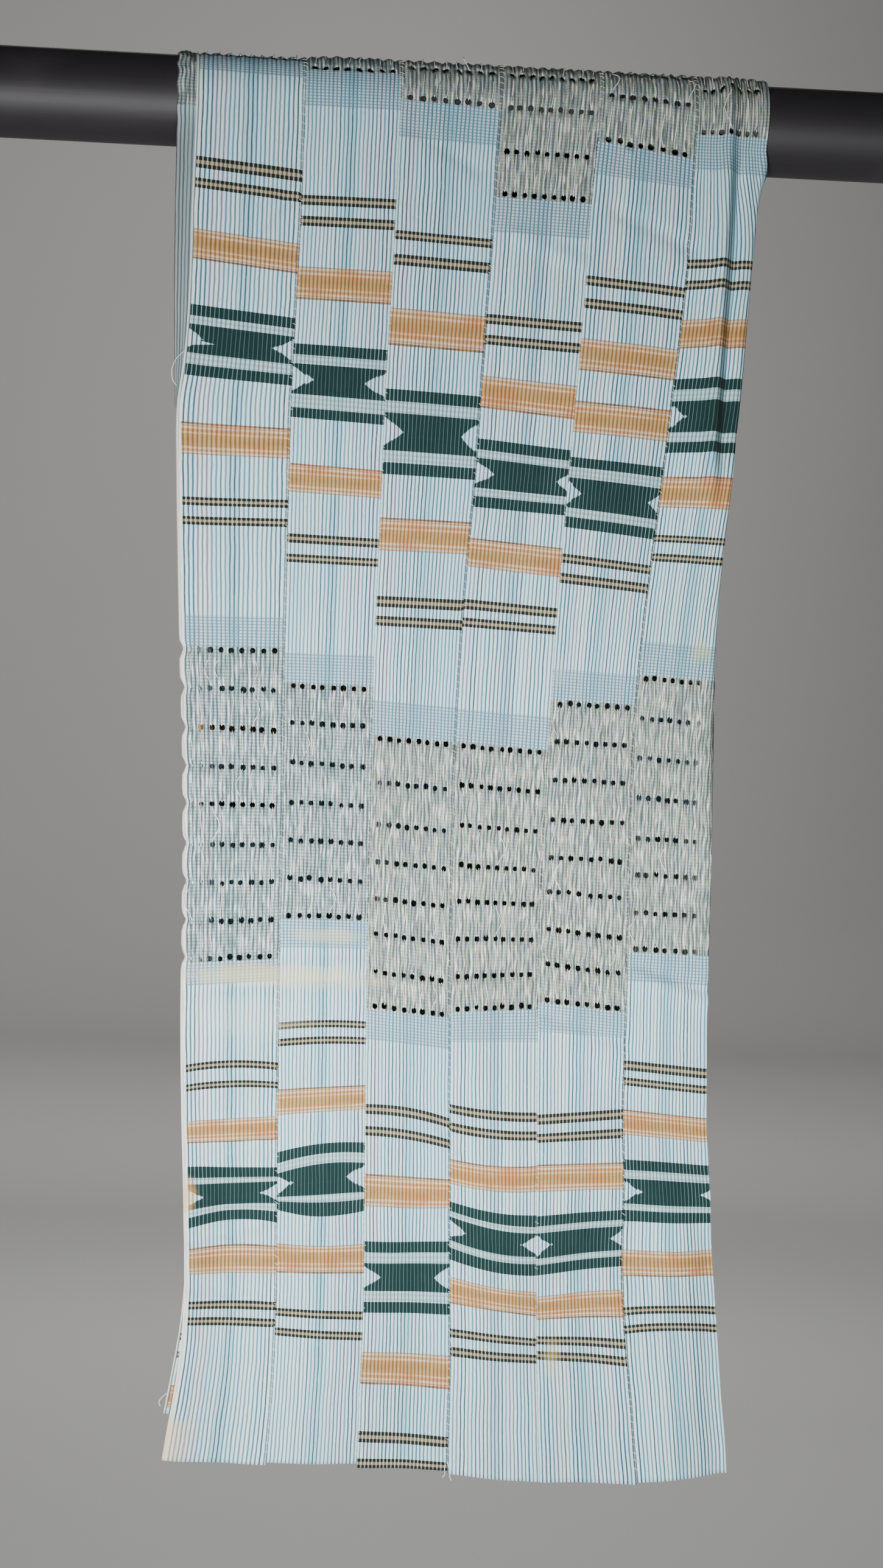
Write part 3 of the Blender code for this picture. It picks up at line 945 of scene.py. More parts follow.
    def count_stripes(self) -> Socket:
        """Counts warp stripes across the cloth; they wander, most of all between the holes.

        Returns:
            The count, which rises by one from each dark line to the next.
        """
        slow = self.add(Node.SUBTRACT, self.patches(40.0, 22.0, 2.0), 0.5)
        quick = self.add(Node.SUBTRACT, self.patches(85.0, 34.0, 1.0), 0.5)
        calm = self.add(Node.STEP, self.add(Node.ABSOLUTE, self.along), 0.12, 0.24)
        amount = self.add(Node.MULTIPLY_ADD, self.add(Node.STEP, self.strip, 1.6, 3.2), 0.9, 0.6)
        amount = self.add(Node.MULTIPLY, amount, self.open_zone)
        amount = self.add(Node.MULTIPLY, amount, self.add(Node.MULTIPLY_ADD, calm, 0.75, 0.25))
        wander = self.add(Node.MULTIPLY_ADD, slow, 0.5, self.add(Node.MULTIPLY, quick, amount))
        return self.add(Node.ADD, self.add(Node.DIVIDE, self.across, self.stripe_pitch), wander)

    def colour(self) -> Socket:
        """Lays the bands over the plain weave, the openwork with its painted shade, then the selvedges with
        painted shade on the folded edge, the stains and the wear.

        Returns:
            The cloth's colour.
        """
        ground = self.ground()
        bars, figure = self.greens()
        back_to_front = self.add(Node.SUBTRACT, 1.0, self.through)
        woven = {
            BandKind.CHECK: self.check(ground),
            BandKind.OPENWORK: self.openwork(ground),
            BandKind.LINE: self.line(),
            BandKind.ORANGE: self.orange(self.through),
            BandKind.ORANGE_TURNED: self.orange(back_to_front),
            BandKind.BAR: bars,
            BandKind.BEADED: self.beaded(ground),
            BandKind.HOURGLASS: self.blended(figure, ground, self.notches()),
        }
        colour = ground
        for kind, pattern in woven.items():
            colour = self.blended(colour, pattern, self.is_kind(kind))
        return self.worn(self.stained(self.edged(colour, ground)))

    def height(self) -> Socket:
        """Raises the warp between its lines, with the threads' own unevenness, drawn 1 mm apart.

        Returns:
            The height of the weave's relief.
        """
        rib = self.add(Node.COSINE, self.add(Node.MULTIPLY, self.stripes, 2.0 * math.pi))
        amount = self.add(Node.MULTIPLY_ADD, self.open_zone, 0.8, 0.25)
        threads = self.patches(900.0, 1500.0, 1.0)
        return self.add(Node.ADD, self.add(Node.MULTIPLY, rib, amount), threads)

    def ground(self) -> Socket:
        """Weaves the plain ground: white and pale blue warp with a thin dark line in each repeat.

        Returns:
            Its colour.
        """
        tone = self.add(Node.CHANCE, self.add(Node.ADD, self.number, 0.5))
        tints = (
            (0.0, self.pale_blue), (0.4, "#BFE0EC"), (0.62, self.lilac), (0.74, "#AAD4E6"), (0.86, "#C9E2E6"),
        )
        warp = self.add(Node.RAMP, tone, stops=tints, banded=True)
        warp = self.blended(warp, self.white, self.light_line, 0.8)
        warp = self.blended(warp, self.turquoise, self.near(self.share, 0.5, 0.07, 0.04), 0.55)
        cloud = self.add(Node.STEP, self.patches(26.0, 8.0, 3.0), 0.48, 0.72)
        warp = self.blended(warp, self.cloud_blue, cloud, 0.4)
        strength = self.add(Node.MULTIPLY_ADD, self.depth, 0.28, 0.7)
        warp = self.blended(warp, self.line_blue, self.warp_line, strength)
        fleck = self.add(Node.STEP, self.patches(520.0, 150.0, 2.0), 0.55, 0.72)
        return self.blended(warp, self.fleck_grey, fleck, 0.28)

    def ticks(self, pitch: float) -> Socket:
        """Draws thin lines across the strip at a pitch along it."""
        return self.near(self.add(Node.FRACTION, self.add(Node.DIVIDE, self.along, pitch)), 0.5, 0.3, 0.12)

    def check(self, ground: Socket) -> Socket:
        """Adds blue-grey weft ticks, which make a fine mesh beside the openwork."""
        tick = self.add(Node.MULTIPLY_ADD, self.ticks(self.check_pitch), 0.55, 0.24)
        return self.blended(ground, self.check_blue, tick)

    def openwork(self, ground: Socket) -> Socket:
        """Bunches the warp between the holes, in mixed lilac, cream, green and white threads, with painted
        shade over it and in its grooves and gaps.

        Args:
            ground: the plain weave.

        Returns:
            The colour of the openwork, which is warmer and more bunched from the third strip on.
        """
        warm = self.add(Node.STEP, self.strip, 1.6, 3.2)
        drift = self.add(Node.STEP, self.patches(230.0, 32.0, 1.0), 0.3, 0.7)
        tints = self.add(Node.RAMP, drift, stops=self.thread_stops, banded=True)
        base = self.blended(ground, tints, self.add(Node.MULTIPLY_ADD, warm, 0.35, 0.25))
        picks = self.add(Node.MULTIPLY_ADD, warm, -0.24, 0.6)
        base = self.blended(base, "#5F7A86", self.ticks(self.openwork_pitch), picks)
        # Painted shade: a grey tint over the whole openwork, a little stronger from the third strip on.
        openwork_painted_shade = self.add(Node.MULTIPLY_ADD, warm, 0.2, 0.8)
        base = self.add(Node.TINT, openwork_painted_shade, base, linear("#D6D5CD"))
        broken = self.patches(250.0, 46.0, 1.0)
        # Dark warp lines, with painted shade in the grooves and gaps of the openwork.
        base = self.blended(base, "#46555A", self.warp_lines_and_painted_shade(broken, warm))
        whites = self.add(Node.RAMP, warm, stops=((0.0, "#F6F9F8"), (1.0, "#FBF5EA")))
        strokes = self.add(Node.MULTIPLY_ADD, self.light_line, 0.75, 0.05)
        return self.blended(base, whites, self.add(Node.STEP, broken, 0.52, 0.62), strokes)

    def warp_lines_and_painted_shade(self, broken: Socket, warm: Socket) -> Socket:
        """Darkens the openwork in its broken warp lines, which are dark thread, and paints shade into its
        grooves and into the gaps between its bunches, most of all on and just below the bar.

        Args:
            broken: noise that breaks the warp lines up.
            warm: the share of the warmer, more bunched openwork.

        Returns:
            How dark it is, as a share.
        """
        lines = self.add(Node.MULTIPLY, self.warp_line, self.add(Node.STEP, broken, 0.66, 0.42))
        # Painted shade in the grooves, and in the gaps between the bunches, stronger on and just below the
        # bar.
        grooves = self.add(Node.STEP, self.patches(420.0, 40.0, 2.0), 0.52, 0.7)
        drift = self.add(Node.SUBTRACT, self.patches(60.0, 30.0, 1.0), 0.5)
        column = self.add(Node.FRACTION, self.add(Node.MULTIPLY_ADD, drift, 0.55, self.left_notch))
        near_bar = self.add(Node.STEP, self.add(Node.ABSOLUTE, self.along), 0.26, 0.14)
        amount = self.add(Node.MULTIPLY_ADD, near_bar, 0.36, self.add(Node.MULTIPLY_ADD, warm, 0.14, 0.22))
        painted_shade_gaps = self.add(Node.MULTIPLY, self.near(column, 0.5, 0.17, 0.05), amount)
        lined = self.add(Node.MULTIPLY, lines, 0.9)
        painted_shade_grooved = self.add(Node.MULTIPLY, grooves, 0.62)
        return self.add(Node.MAXIMUM, self.add(Node.MAXIMUM, lined, painted_shade_grooved), painted_shade_gaps)

    def line(self) -> Socket:
        """Lays a tan weft line between two dark ones; the warp breaks it up into beads.

        Returns:
            Its colour.
        """
        stops = ((0.0, self.dark), (0.31, self.dark), (0.38, self.tan), (0.62, self.tan), (0.69, self.dark))
        colour = self.add(Node.RAMP, self.through, stops=stops)
        dashes = self.add(Node.MULTIPLY_ADD, self.depth, 0.3, 0.2)
        colour = self.blended(colour, "#C9CFC4", self.light_line, dashes)
        return self.blended(colour, "#1C211D", self.warp_line, 0.7)

    def orange(self, through: Socket) -> Socket:
        """Weaves an orange band: a tan core with fine light and brown lines on both sides.

        Args:
            through: the share of the way through the band.

        Returns:
            Its colour.
        """
        colour = self.add(Node.RAMP, through, stops=self.orange_stops)
        dull = self.add(Node.STEP, self.patches(34.0, 70.0, 2.0), 0.4, 0.65)
        colour = self.blended(colour, "#B59A66", dull, 0.35)
        deep = self.add(Node.STEP, self.patches(22.0, 26.0, 2.0), 0.5, 0.68)
        colour = self.blended(colour, "#BA7038", deep, 0.55)
        colour = self.blended(colour, "#E3D6C2", self.light_line, 0.16)
        return self.blended(colour, "#523B2C", self.warp_line, 0.7)

    def greens(self) -> tuple[Socket, Socket]:
        """Weaves deep green weft, crossed by lighter warp that is strongest near the selvedges.

        Returns:
            The colour of the bars and that of the hourglass.
        """
        off_middle = self.add(Node.ABSOLUTE, self.add(Node.SUBTRACT, self.share, 0.5))
        side = self.add(Node.STEP, off_middle, 0.12, 0.45)
        tones = ((0.0, self.green), (1.0, self.green_deep))
        base = self.add(Node.RAMP, self.patches(160.0, 60.0, 2.0), stops=tones)
        varied = self.add(Node.MULTIPLY, self.fleck_line, self.add(Node.MULTIPLY_ADD, self.depth, 0.5, 0.6))
        bars = self.blended(base, self.green_light, varied, self.add(Node.MULTIPLY_ADD, side, 0.3, 0.42))
        figure = self.blended(base, self.green_light, varied, self.add(Node.MULTIPLY_ADD, side, 0.34, 0.2))
        return bars, figure

    def beaded(self, ground: Socket) -> Socket:
        """Weaves the light bands beside the green; picks and dark warp lines cut them into beads.

        Args:
            ground: the plain weave.

        Returns:
            Their colour.
        """
        base = self.blended(ground, "#A9C3C6", 0.6)
        base = self.blended(base, "#6F9194", self.ticks(self.beaded_pitch), 0.42)
        return self.blended(base, "#3D5B60", self.warp_line, 0.62)

    def notches(self) -> Socket:
        """Cuts light triangles that reach in from both selvedges; an extra spike marks a long one.

        Returns:
            One inside a triangle and zero outside.
        """
        jag = self.add(Node.CHANCE, self.add(Node.ADD, self.number, 9.1))
        jag = self.add(Node.MULTIPLY, self.add(Node.SUBTRACT, jag, 0.5), 0.04)
        long_one = self.add(Node.EXCEEDS, self.left_notch, 0.26)
        shortened = self.add(Node.SUBTRACT, 1.0, self.add(Node.MULTIPLY, long_one, 0.42))
        main = self.add(Node.MULTIPLY, self.left_notch, shortened)
        left, right = (
            self.add(Node.MINIMUM, self.add(Node.MULTIPLY, reach, 2.2), 0.43)
            for reach in (self.left_notch, self.right_notch)
        )
        from_right = self.add(Node.SUBTRACT, self.add(Node.ADD, jag, 1.0), self.share)
        spike_half = self.add(Node.MULTIPLY, long_one, 0.16)
        first = self.triangle(self.add(Node.ADD, self.share, jag), main, 0.5, left)
        second = self.triangle(from_right, self.right_notch, 0.5, right)
        spike = self.triangle(self.share, self.left_notch, 0.62, spike_half)
        return self.add(Node.MAXIMUM, self.add(Node.MAXIMUM, first, second), spike)

    def triangle(self, side: Socket, reach: Socket, middle: float, half: Socket) -> Socket:
        """Cuts one notch.

        Args:
            side: the share of the width from its selvedge.
            reach: how far it reaches in, as a share of the width.
            middle: its middle, as a share of the way through the band.
            half: half of its height at the selvedge, as a share of the band.

        Returns:
            One inside it and zero outside.
        """
        left_over = self.add(Node.SUBTRACT, 1.0, self.add(Node.DIVIDE, side, reach))
        height = self.add(Node.MULTIPLY, left_over, half)
        off = self.add(Node.ABSOLUTE, self.add(Node.SUBTRACT, self.through, middle))
        return self.add(Node.STEP, self.add(Node.SUBTRACT, height, off), -0.005, 0.035)

    def edged(self, colour: Socket, ground: Socket) -> Socket:
        """Leaves the left selvedge plain and creamy and paints shade on the folded edge beside it, stronger
        from about 140 mm below the top of the bar.

        Args:
            colour: the cloth with its bands.
            ground: the plain weave.

        Returns:
            The colour with its edges.
        """
        first = self.add(Node.EQUALS, self.strip, 1.0, 0.2)
        low = self.add(Node.STEP, self.along, 0.36, 0.5)
        past = self.add(Node.SUBTRACT, self.share, self.add(Node.MULTIPLY_ADD, low, 0.028, 0.022))
        colour = self.blended(colour, ground, self.add(Node.STEP, past, 0.006, -0.002), first)
        past = self.add(Node.SUBTRACT, self.share, self.add(Node.MULTIPLY_ADD, low, 0.014, 0.012))
        colour = self.blended(colour, self.cream, self.add(Node.STEP, past, 0.008, -0.004), first, 0.8)
        fringe = self.add(Node.STEP, self.share, 0.011, 0.004)
        above_hem = self.add(Node.STEP, self.along, 1.25, 0.95)
        colour = self.blended(colour, "#7A5A4A", fringe, low, above_hem, first, 0.75)
        # Painted shade: the folded edge is darkened towards grey-brown, faintly at the top and more from about
        # 140 mm down.
        tucked_painted_shade = self.add(Node.STEP, self.across, -0.16, -0.17)
        painted_shade_strength = self.add(Node.MULTIPLY_ADD, self.add(Node.STEP, self.along, 0.05, 0.14), 0.5, 0.16)
        return self.blended(colour, "#4C4A46", tucked_painted_shade, painted_shade_strength)

    def stained(self, colour: Socket) -> Socket:
        """Adds the stains of the front, with ragged borders.

        Args:
            colour: the clean cloth.

        Returns:
            The stained colour.
        """
        where = self.add(Node.PLACE)
        x, y, z = (self.add(axis, where) for axis in (Node.X, Node.Y, Node.Z))
        front = self.add(Node.STEP, y, 0.0, -0.01)
        rough = self.add(Node.MULTIPLY_ADD, self.add(Node.NOISE, where, 60.0, 3.0), 1.1, -0.55)
        for stain in STAINS:
            centre_z = (self.sizes.quarter - stain.along) * MM
            off_x = self.add(Node.DIVIDE, self.add(Node.SUBTRACT, x, stain.x * MM), stain.reach_x * MM)
            off_z = self.add(Node.DIVIDE, self.add(Node.SUBTRACT, z, centre_z), stain.reach_along * MM)
            squares = self.add(Node.ADD, self.add(Node.POWER, off_x, 2.0), self.add(Node.POWER, off_z, 2.0))
            distance = self.add(Node.ADD, self.add(Node.SQUARE_ROOT, squares), rough)
            spot = self.add(Node.STEP, distance, 1.3, 0.3)
            soaked = self.blended(colour, stain.colour, 0.55)
            colour = self.blended(colour, soaked, spot, stain.strength, front)
        return colour

    def worn(self, colour: Socket) -> Socket:
        """Greys the cloth a little in broad soft patches, 125 by 200 mm."""
        broad = self.add(Node.STEP, self.patches(8.0, 5.0, 3.0), 0.35, 0.75)
        return self.add(Node.TINT, self.add(Node.MULTIPLY, broad, 0.2), colour, linear("#D6D8D2"))


class WhiteYarn(Finish):
    """Loosely spun white cotton yarn; it catches more light than the weave below it.

    Its twist is about 0.5 mm long on the real yarn and is drawn about 1 mm long.
    """

    name = "cotton_yarn_loosely_spun"
    roughness, sheen, gloss = 0.95, 0.1, 0.2
    relief_depth, relief_strength = 0.0003, 0.7
    tints = ((0.0, "#EDEBE4"), (1.0, "#D9D2C6"))

    def colour(self) -> Socket:
        """Drifts between two whites along the yarns."""
        tint = self.add(Node.NOISE, self.add(Node.PLACE), 45.0, 2.0)
        return self.add(Node.RAMP, self.add(Node.STEP, tint, 0.35, 0.7), stops=self.tints)

    def height(self) -> Socket:
        """Raises the twist of the yarn."""
        along_yarn = self.add(Node.SCALED, self.add(Node.PLACE), (900.0, 900.0, 500.0))
        return self.add(Node.NOISE, along_yarn, 1.0, 1.0)


class DarkPaint(Finish):
    """Dark matte paint on a wooden bar, brushed along it; it keeps one broad soft highlight."""

    name = "paint_dark_matte_brushed"
    roughness = 0.55
    relief_depth, relief_strength = 0.0002, 0.5
    tints = ((0.0, "#232024"), (1.0, "#2E2A2D"))
    stroke = "#1A181B"

    def __init__(self) -> None:
        """Sets out the brush marks, which are long along the bar and 6 mm wide."""
        super().__init__()
        self.place = self.add(Node.PLACE)
        self.brush = self.add(Node.NOISE, self.add(Node.SCALED, self.place, (6.0, 160.0, 160.0)), 1.0, 3.0)

    def colour(self) -> Socket:
        """Wears the paint a little lighter in patches and darker in the brush marks.

        Returns:
            Its colour.
        """
        wear = self.add(Node.STEP, self.add(Node.NOISE, self.place, 9.0, 4.0), 0.55, 0.8)
        strokes = self.add(Node.MULTIPLY, self.add(Node.STEP, self.brush, 0.5, 0.8), 0.4)
        return self.add(Node.MIX, strokes, self.add(Node.RAMP, wear, stops=self.tints), linear(self.stroke))

    def height(self) -> Socket:
        """Raises the brush marks."""
        return self.brush


class PaleStage(Finish):
    """Plain pale studio paper, matte and nearly even, so the cloth stands clear of it."""

    name = "paper_pale_studio_roll"
    roughness, gloss = 0.9, 0.3
    tints = ((0.0, "#D9D8D4"), (1.0, "#D3D2CE"))

    def colour(self) -> Socket:
        """Drifts between two pale greys."""
        return self.add(Node.RAMP, self.add(Node.NOISE, self.add(Node.PLACE), 0.8, 2.0), stops=self.tints)


# Pieces


def finish_object(name: str, bm: bmesh.types.BMesh, material: bpy.types.Material) -> bpy.types.Object:
    """Puts a shaped mesh into the scene as a smooth piece, with its faces pointing outwards.

    Args:
        name: the piece's name.
        bm: its mesh in the shared frame, which is used up.
        material: its finish.

    Returns:
        The object, which sits at the origin.
    """
    bmesh.ops.recalc_face_normals(bm, faces=bm.faces)
    mesh = bpy.data.meshes.new(name)
    bm.to_mesh(mesh)
    bm.free()
    mesh.materials.append(material)
    mesh.shade_smooth()
    piece = bpy.data.objects.new(name, mesh)
    bpy.context.scene.collection.objects.link(piece)
    return piece


WEAVE_MAPS = ("cloth", "band", "share", "notch")


def hang_sheet(
    name: str,
    bm: bmesh.types.BMesh,
    points: np.ndarray,
    left_out: list[bmesh.types.BMFace],
    thickness: float,
    material: bpy.types.Material,
) -> bpy.types.Object:
    """Puts a flat grid onto its points in the hanging cloth and gives it a thickness.

    Args:
        name: the piece's name.
        bm: the grid, with its maps.
        points: where its corners lie, in metres.
        left_out: faces where the openwork is open.
        thickness: the cloth's thickness, in millimetres.
        material: the woven cotton.

    Returns:
        The finished sheet.
    """
    for vert, point in zip(bm.verts, points):
        vert.co = point
    bmesh.ops.delete(bm, geom=left_out, context="FACES")
    piece = finish_object(name, bm, material)
    wall = piece.modifiers.new("thickness", "SOLIDIFY")
    wall.thickness = thickness * MM
    wall.offset = 0.0
    return piece


@dataclass
class StripSheet:
    """One woven strip as a thin sheet with its true openwork.

    The steps between its mesh lines are in millimetres. The margin beside the openwork is a share of the
    width, as are the lines past 1.0, which follow the turned-back part of the last strip. Each hole varies
    in size and strays from its place, as on hand-drawn threads, and a few by the left selvedge close up.
    """

    form: ClothForm
    strip: int
    front_step: float = 6.5
    wrap_step: float = 5.0
    back_step: float = 13.0
    margin: float = 0.045
    turned_lines: tuple[float, ...] = (1.1, 1.2, 1.3, 1.4, 1.5, 1.75, 2.0)
    hole_sizes: tuple[float, float] = (0.85, 1.12)
    sideways_stray: float = 0.05
    lengthwise_stray: float = 0.5
    corner_pull: float = 0.74
    closed_share: float = 0.55
    closed_chance: float = 0.6

    def __post_init__(self) -> None:
        """Sets out the strip's pattern and its columns of holes."""
        self.pattern = StripPattern(self.strip)
        self.holes = HOLES_IN_A_ROW[self.strip]
        self.random = np.random.default_rng(40 + self.strip)
        self.pitch = (1.0 - 2.0 * self.margin) / self.holes

    def hole_centres(self) -> list[float]:
        """Lists the shares across at which holes stand."""
        return [self.margin + self.pitch * (i + 0.5) for i in range(self.holes)]

    def lines_across(self) -> tuple[np.ndarray, list[int]]:
        """Lists the mesh lines across the strip and the middle line of each column of holes.

        Returns:
            The shares across and the numbers of the middle lines.
        """
        lines, middles = [0.0, self.margin * 0.5], []
        half = self.form.sizes.hole_share * self.pitch
        for centre in self.hole_centres():
            lines.append(centre - self.pitch / 2.0)
            lines += [centre - half, centre, centre + half]
            middles.append(len(lines) - 2)
        lines += [1.0 - self.margin, 1.0 - self.margin * 0.5, 1.0]
        if self.strip == STRIPS:
            lines += self.turned_lines
        return np.array(lines), middles

    def step_at(self, mark: float) -> float:
        """Gives the spacing of the mesh lines along the strip.

        Args:
            mark: the place along the strip, in millimetres.

        Returns:
            The spacing, in millimetres.
        """
        if abs(mark) < self.form.sizes.quarter + 8.0:
            return self.wrap_step
        return self.front_step if mark > 0 else self.back_step

    def lines_along(self) -> tuple[np.ndarray, list[int]]:
        """Lists the mesh lines along the strip and the middle line of each row of holes.

        Returns:
            The marks and the numbers of the middle lines.
        """
        half = self.form.sizes.hole_length / 2.0
        fixed = set(self.pattern.hems)
        for band in self.pattern.bands:
            if band.kind != BandKind.OPENWORK:
                fixed |= {band.start, band.end}
        for row in self.pattern.rows:
            fixed = {mark for mark in fixed if abs(mark - row) > half + 0.3}
            fixed |= {row - half, row, row + half}
        ends = sorted(mark for mark in fixed if self.pattern.hems[0] <= mark <= self.pattern.hems[1])
        lines: list[float] = []
        for start, end in zip(ends, ends[1:]):
            parts = max(1, round((end - start) / self.step_at((start + end) / 2.0)))
            lines += [start + (end - start) * i / parts for i in range(parts)]
        lines.append(ends[-1])
        rows = [lines.index(row) for row in self.pattern.rows if row in lines]
        return np.array(lines), rows

    def opened(self, across: np.ndarray, mark: np.ndarray, rows: list[int], middles: list[int]) -> set:
        """Shapes the holes in the grid of shares and marks.

        Args:
            across: share of each grid point.
            mark: mark of each grid point.
            rows: middle line of each row of holes.
            middles: middle line of each column of holes.

        Returns:
            The cells to leave out, by row and column.
        """
        left_out = set()
        for i in rows:
            for j in middles:
                size = self.random.uniform(*self.hole_sizes)
                faint = self.strip == 1 and j < middles[2] and self.random.random() < self.closed_chance
                size *= self.closed_share if faint else 1.0
                shift = self.random.normal(0.0, self.sideways_stray) * self.pitch
                lift = self.random.normal(0.0, self.lengthwise_stray)
                centre, row = across[i, j], mark[i, j]
                for a in (-1, 0, 1):
                    for b in (-1, 0, 1):
                        round_off = self.corner_pull if a and b else 1.0
                        gap_across = (across[i + a, j + b] - centre) * size * round_off
                        gap_along = (mark[i + a, j + b] - row) * size * round_off
                        across[i + a, j + b] = centre + shift + gap_across
                        mark[i + a, j + b] = row + lift + gap_along
                left_out |= {(i - 1, j - 1), (i - 1, j), (i, j - 1), (i, j)}
        return left_out

    def ribs(self, across: np.ndarray, mark: np.ndarray) -> np.ndarray:
        """Gives the height of the bunched warp between the rows of holes.

        Args:
            across: shares across.
            mark: marks along the strip, in millimetres.

        Returns:
            The height, in millimetres.
        """
        turns = (np.minimum(across, 1.0) - self.margin) / self.pitch
        wander = 0.25 * np.sin(mark / 23.0 + across * 9.0)
        rib = -np.cos(2.0 * math.pi * (turns + wander)) + 0.5 * np.sin(4.0 * math.pi * turns + mark / 31.0)
        total = np.zeros_like(mark)
        for group in self.pattern.groups:
            inside = fade(np.maximum(group[0] - mark, mark - group[-1]), 6.0)
            total += self.form.sizes.rib_height * rib * inside
        return total * (1.0 + 1.8 * np.exp(-((mark / 80.0) ** 2)))

    def grid(self) -> tuple[bmesh.types.BMesh, np.ndarray, np.ndarray, set, int]:
        """Makes the flat grid of the strip and works out each point's share and mark.

        Returns:
            The grid, each point's share and mark, the cells to leave out and the number of points across.
        """
        lines, middles = self.lines_across()
        marks, rows = self.lines_along()
        wide, tall = len(lines), len(marks)
        across, mark = np.meshgrid(lines, marks)
        left_out = self.opened(across, mark, rows, middles)
        bm = bmesh.new()
        bmesh.ops.create_grid(bm, x_segments=wide - 1, y_segments=tall - 1, size=0.5)
        bm.verts.ensure_lookup_table()
        return bm, across.ravel(), mark.ravel(), left_out, wide

    def material_share(self, across: np.ndarray, mark: np.ndarray) -> np.ndarray:
        """Turns the share of the shown width into the share of the woven width.

        Args:
            across: share of the shown width, past 1 on the turned part.
            mark: along the strip, in millimetres.

        Returns:
            The share of the woven width.
        """
        if self.strip != STRIPS:
            return across
        turned = self.form.turned(mark) + self.form.sizes.turn_radius
        shown = self.form.sizes.strip_width - turned
        run = np.minimum(across, 1.0) * shown + np.maximum(across - 1.0, 0.0) * turned
        return run / self.form.sizes.strip_width

    def build(self, material: bpy.types.Material) -> bpy.types.Object:
        """Builds the strip.

        Args:
            material: the woven cotton.

        Returns:
            The finished piece.
        """
        bm, across, mark, left_out, wide = self.grid()
        points = self.form.place(self.strip, mark, across)
        points += self.form.normal(self.strip, mark, across) * self.ribs(across, mark)[:, None] * MM
        share = self.material_share(across, mark)
        offset = 0.2 * (self.strip - 1)
        cloth, band, shares, notch = (bm.loops.layers.uv.new(name) for name in WEAVE_MAPS)
        gone = []
        for face in bm.faces:
            corners = [loop.vert.index for loop in face.loops]
            i, j = min(corners) // wide, min(corners) % wide
            if (i, j) in left_out:
                gone.append(face)
                continue
            low, high = mark[min(corners)], mark[max(corners)]
            woven = self.pattern.band_at((low + high) / 2.0)
            span = woven.end - woven.start
            for loop, k in zip(face.loops, corners):
                loop[cloth].uv = (offset + share[k] * self.form.sizes.strip_width * MM, mark[k] * MM)
                loop[band].uv = (woven.kind + 0.5, (mark[k] - woven.start) / span)
                loop[shares].uv = (share[k], float(self.strip))
                column = (across[k] - self.margin) / self.pitch
                loop[notch].uv = (column, 0.0) if woven.kind == BandKind.OPENWORK else woven.notches
        name = f"woven_strip_{self.strip}"
        return hang_sheet(name, bm, points, gone, self.form.sizes.thickness, material)


@dataclass
class FoldedEdge:
    """The crumpled edge left of the first strip from the bar down, folded under it; sizes in millimetres."""

    form: ClothForm
    start: float = -60.0
    end: float = 428.0
    openwork_end: float = 96.0
    overlap: float = 4.0
    drop: float = 1.5
    thickness: float = 1.0
    columns: int = 9
    rows: int = 150

    def points(self, along: np.ndarray, share: np.ndarray) -> np.ndarray:
        """Places points of the edge.

        Args:
            along: along the cloth, in millimetres.
            share: from 0 at its outer edge to 1 under the first strip.

        Returns:
            The points, in metres.
        """
        width = self.form.folded.read(along) + self.overlap
        top = fade(np.maximum(along - 40.0, 0.0), 110.0)
        x = self.form.edge(0, along) + width * share + 1.1 * top * np.sin(along / 4.3) * (1.0 - share)
        bunched = np.sin(along / 3.1 + 4.0 * share) * np.sin(share * 8.0 + along / 9.0)
        below = fade(self.form.sizes.quarter + 30.0 - along, 30.0) * share
        outward = self.form.outward(x, along) - self.drop + 1.3 * top * bunched - 6.0 * below
        on_bar = np.abs(along) <= self.form.sizes.quarter
        return self.form.hung(x, along, np.where(on_bar, np.maximum(outward, -1.3), outward))

    def build(self, material: bpy.types.Material) -> bpy.types.Object:
        """Builds the edge.

        Args:
            material: the woven cotton.

        Returns:
            The edge as a thin sheet with the weave's maps.
        """
        bm = bmesh.new()
        bmesh.ops.create_grid(bm, x_segments=self.columns - 1, y_segments=self.rows - 1, size=0.5)
        bm.verts.ensure_lookup_table()
        share, along = np.meshgrid(
            np.linspace(0.0, 1.0, self.columns), np.linspace(self.start, self.end, self.rows)
        )
        points, share, along = self.points(along, share).reshape(-1, 3), share.ravel(), along.ravel()
        cloth, band, shares, notch = (bm.loops.layers.uv.new(name) for name in WEAVE_MAPS)
        for face in bm.faces:
            corners = [loop.vert.index for loop in face.loops]
            kind = BandKind.OPENWORK if along[min(corners)] < self.openwork_end else BandKind.PLAIN
            for loop, k in zip(face.loops, corners):
                loop[cloth].uv = (-0.2 + 0.024 * share[k], along[k] * MM)
                loop[band].uv = (kind + 0.5, 0.5)
                loop[shares].uv = (0.2, 2.0)
                loop[notch].uv = (0.0, 0.0)
        return hang_sheet("folded_edge", bm, points, [], self.thickness, material)


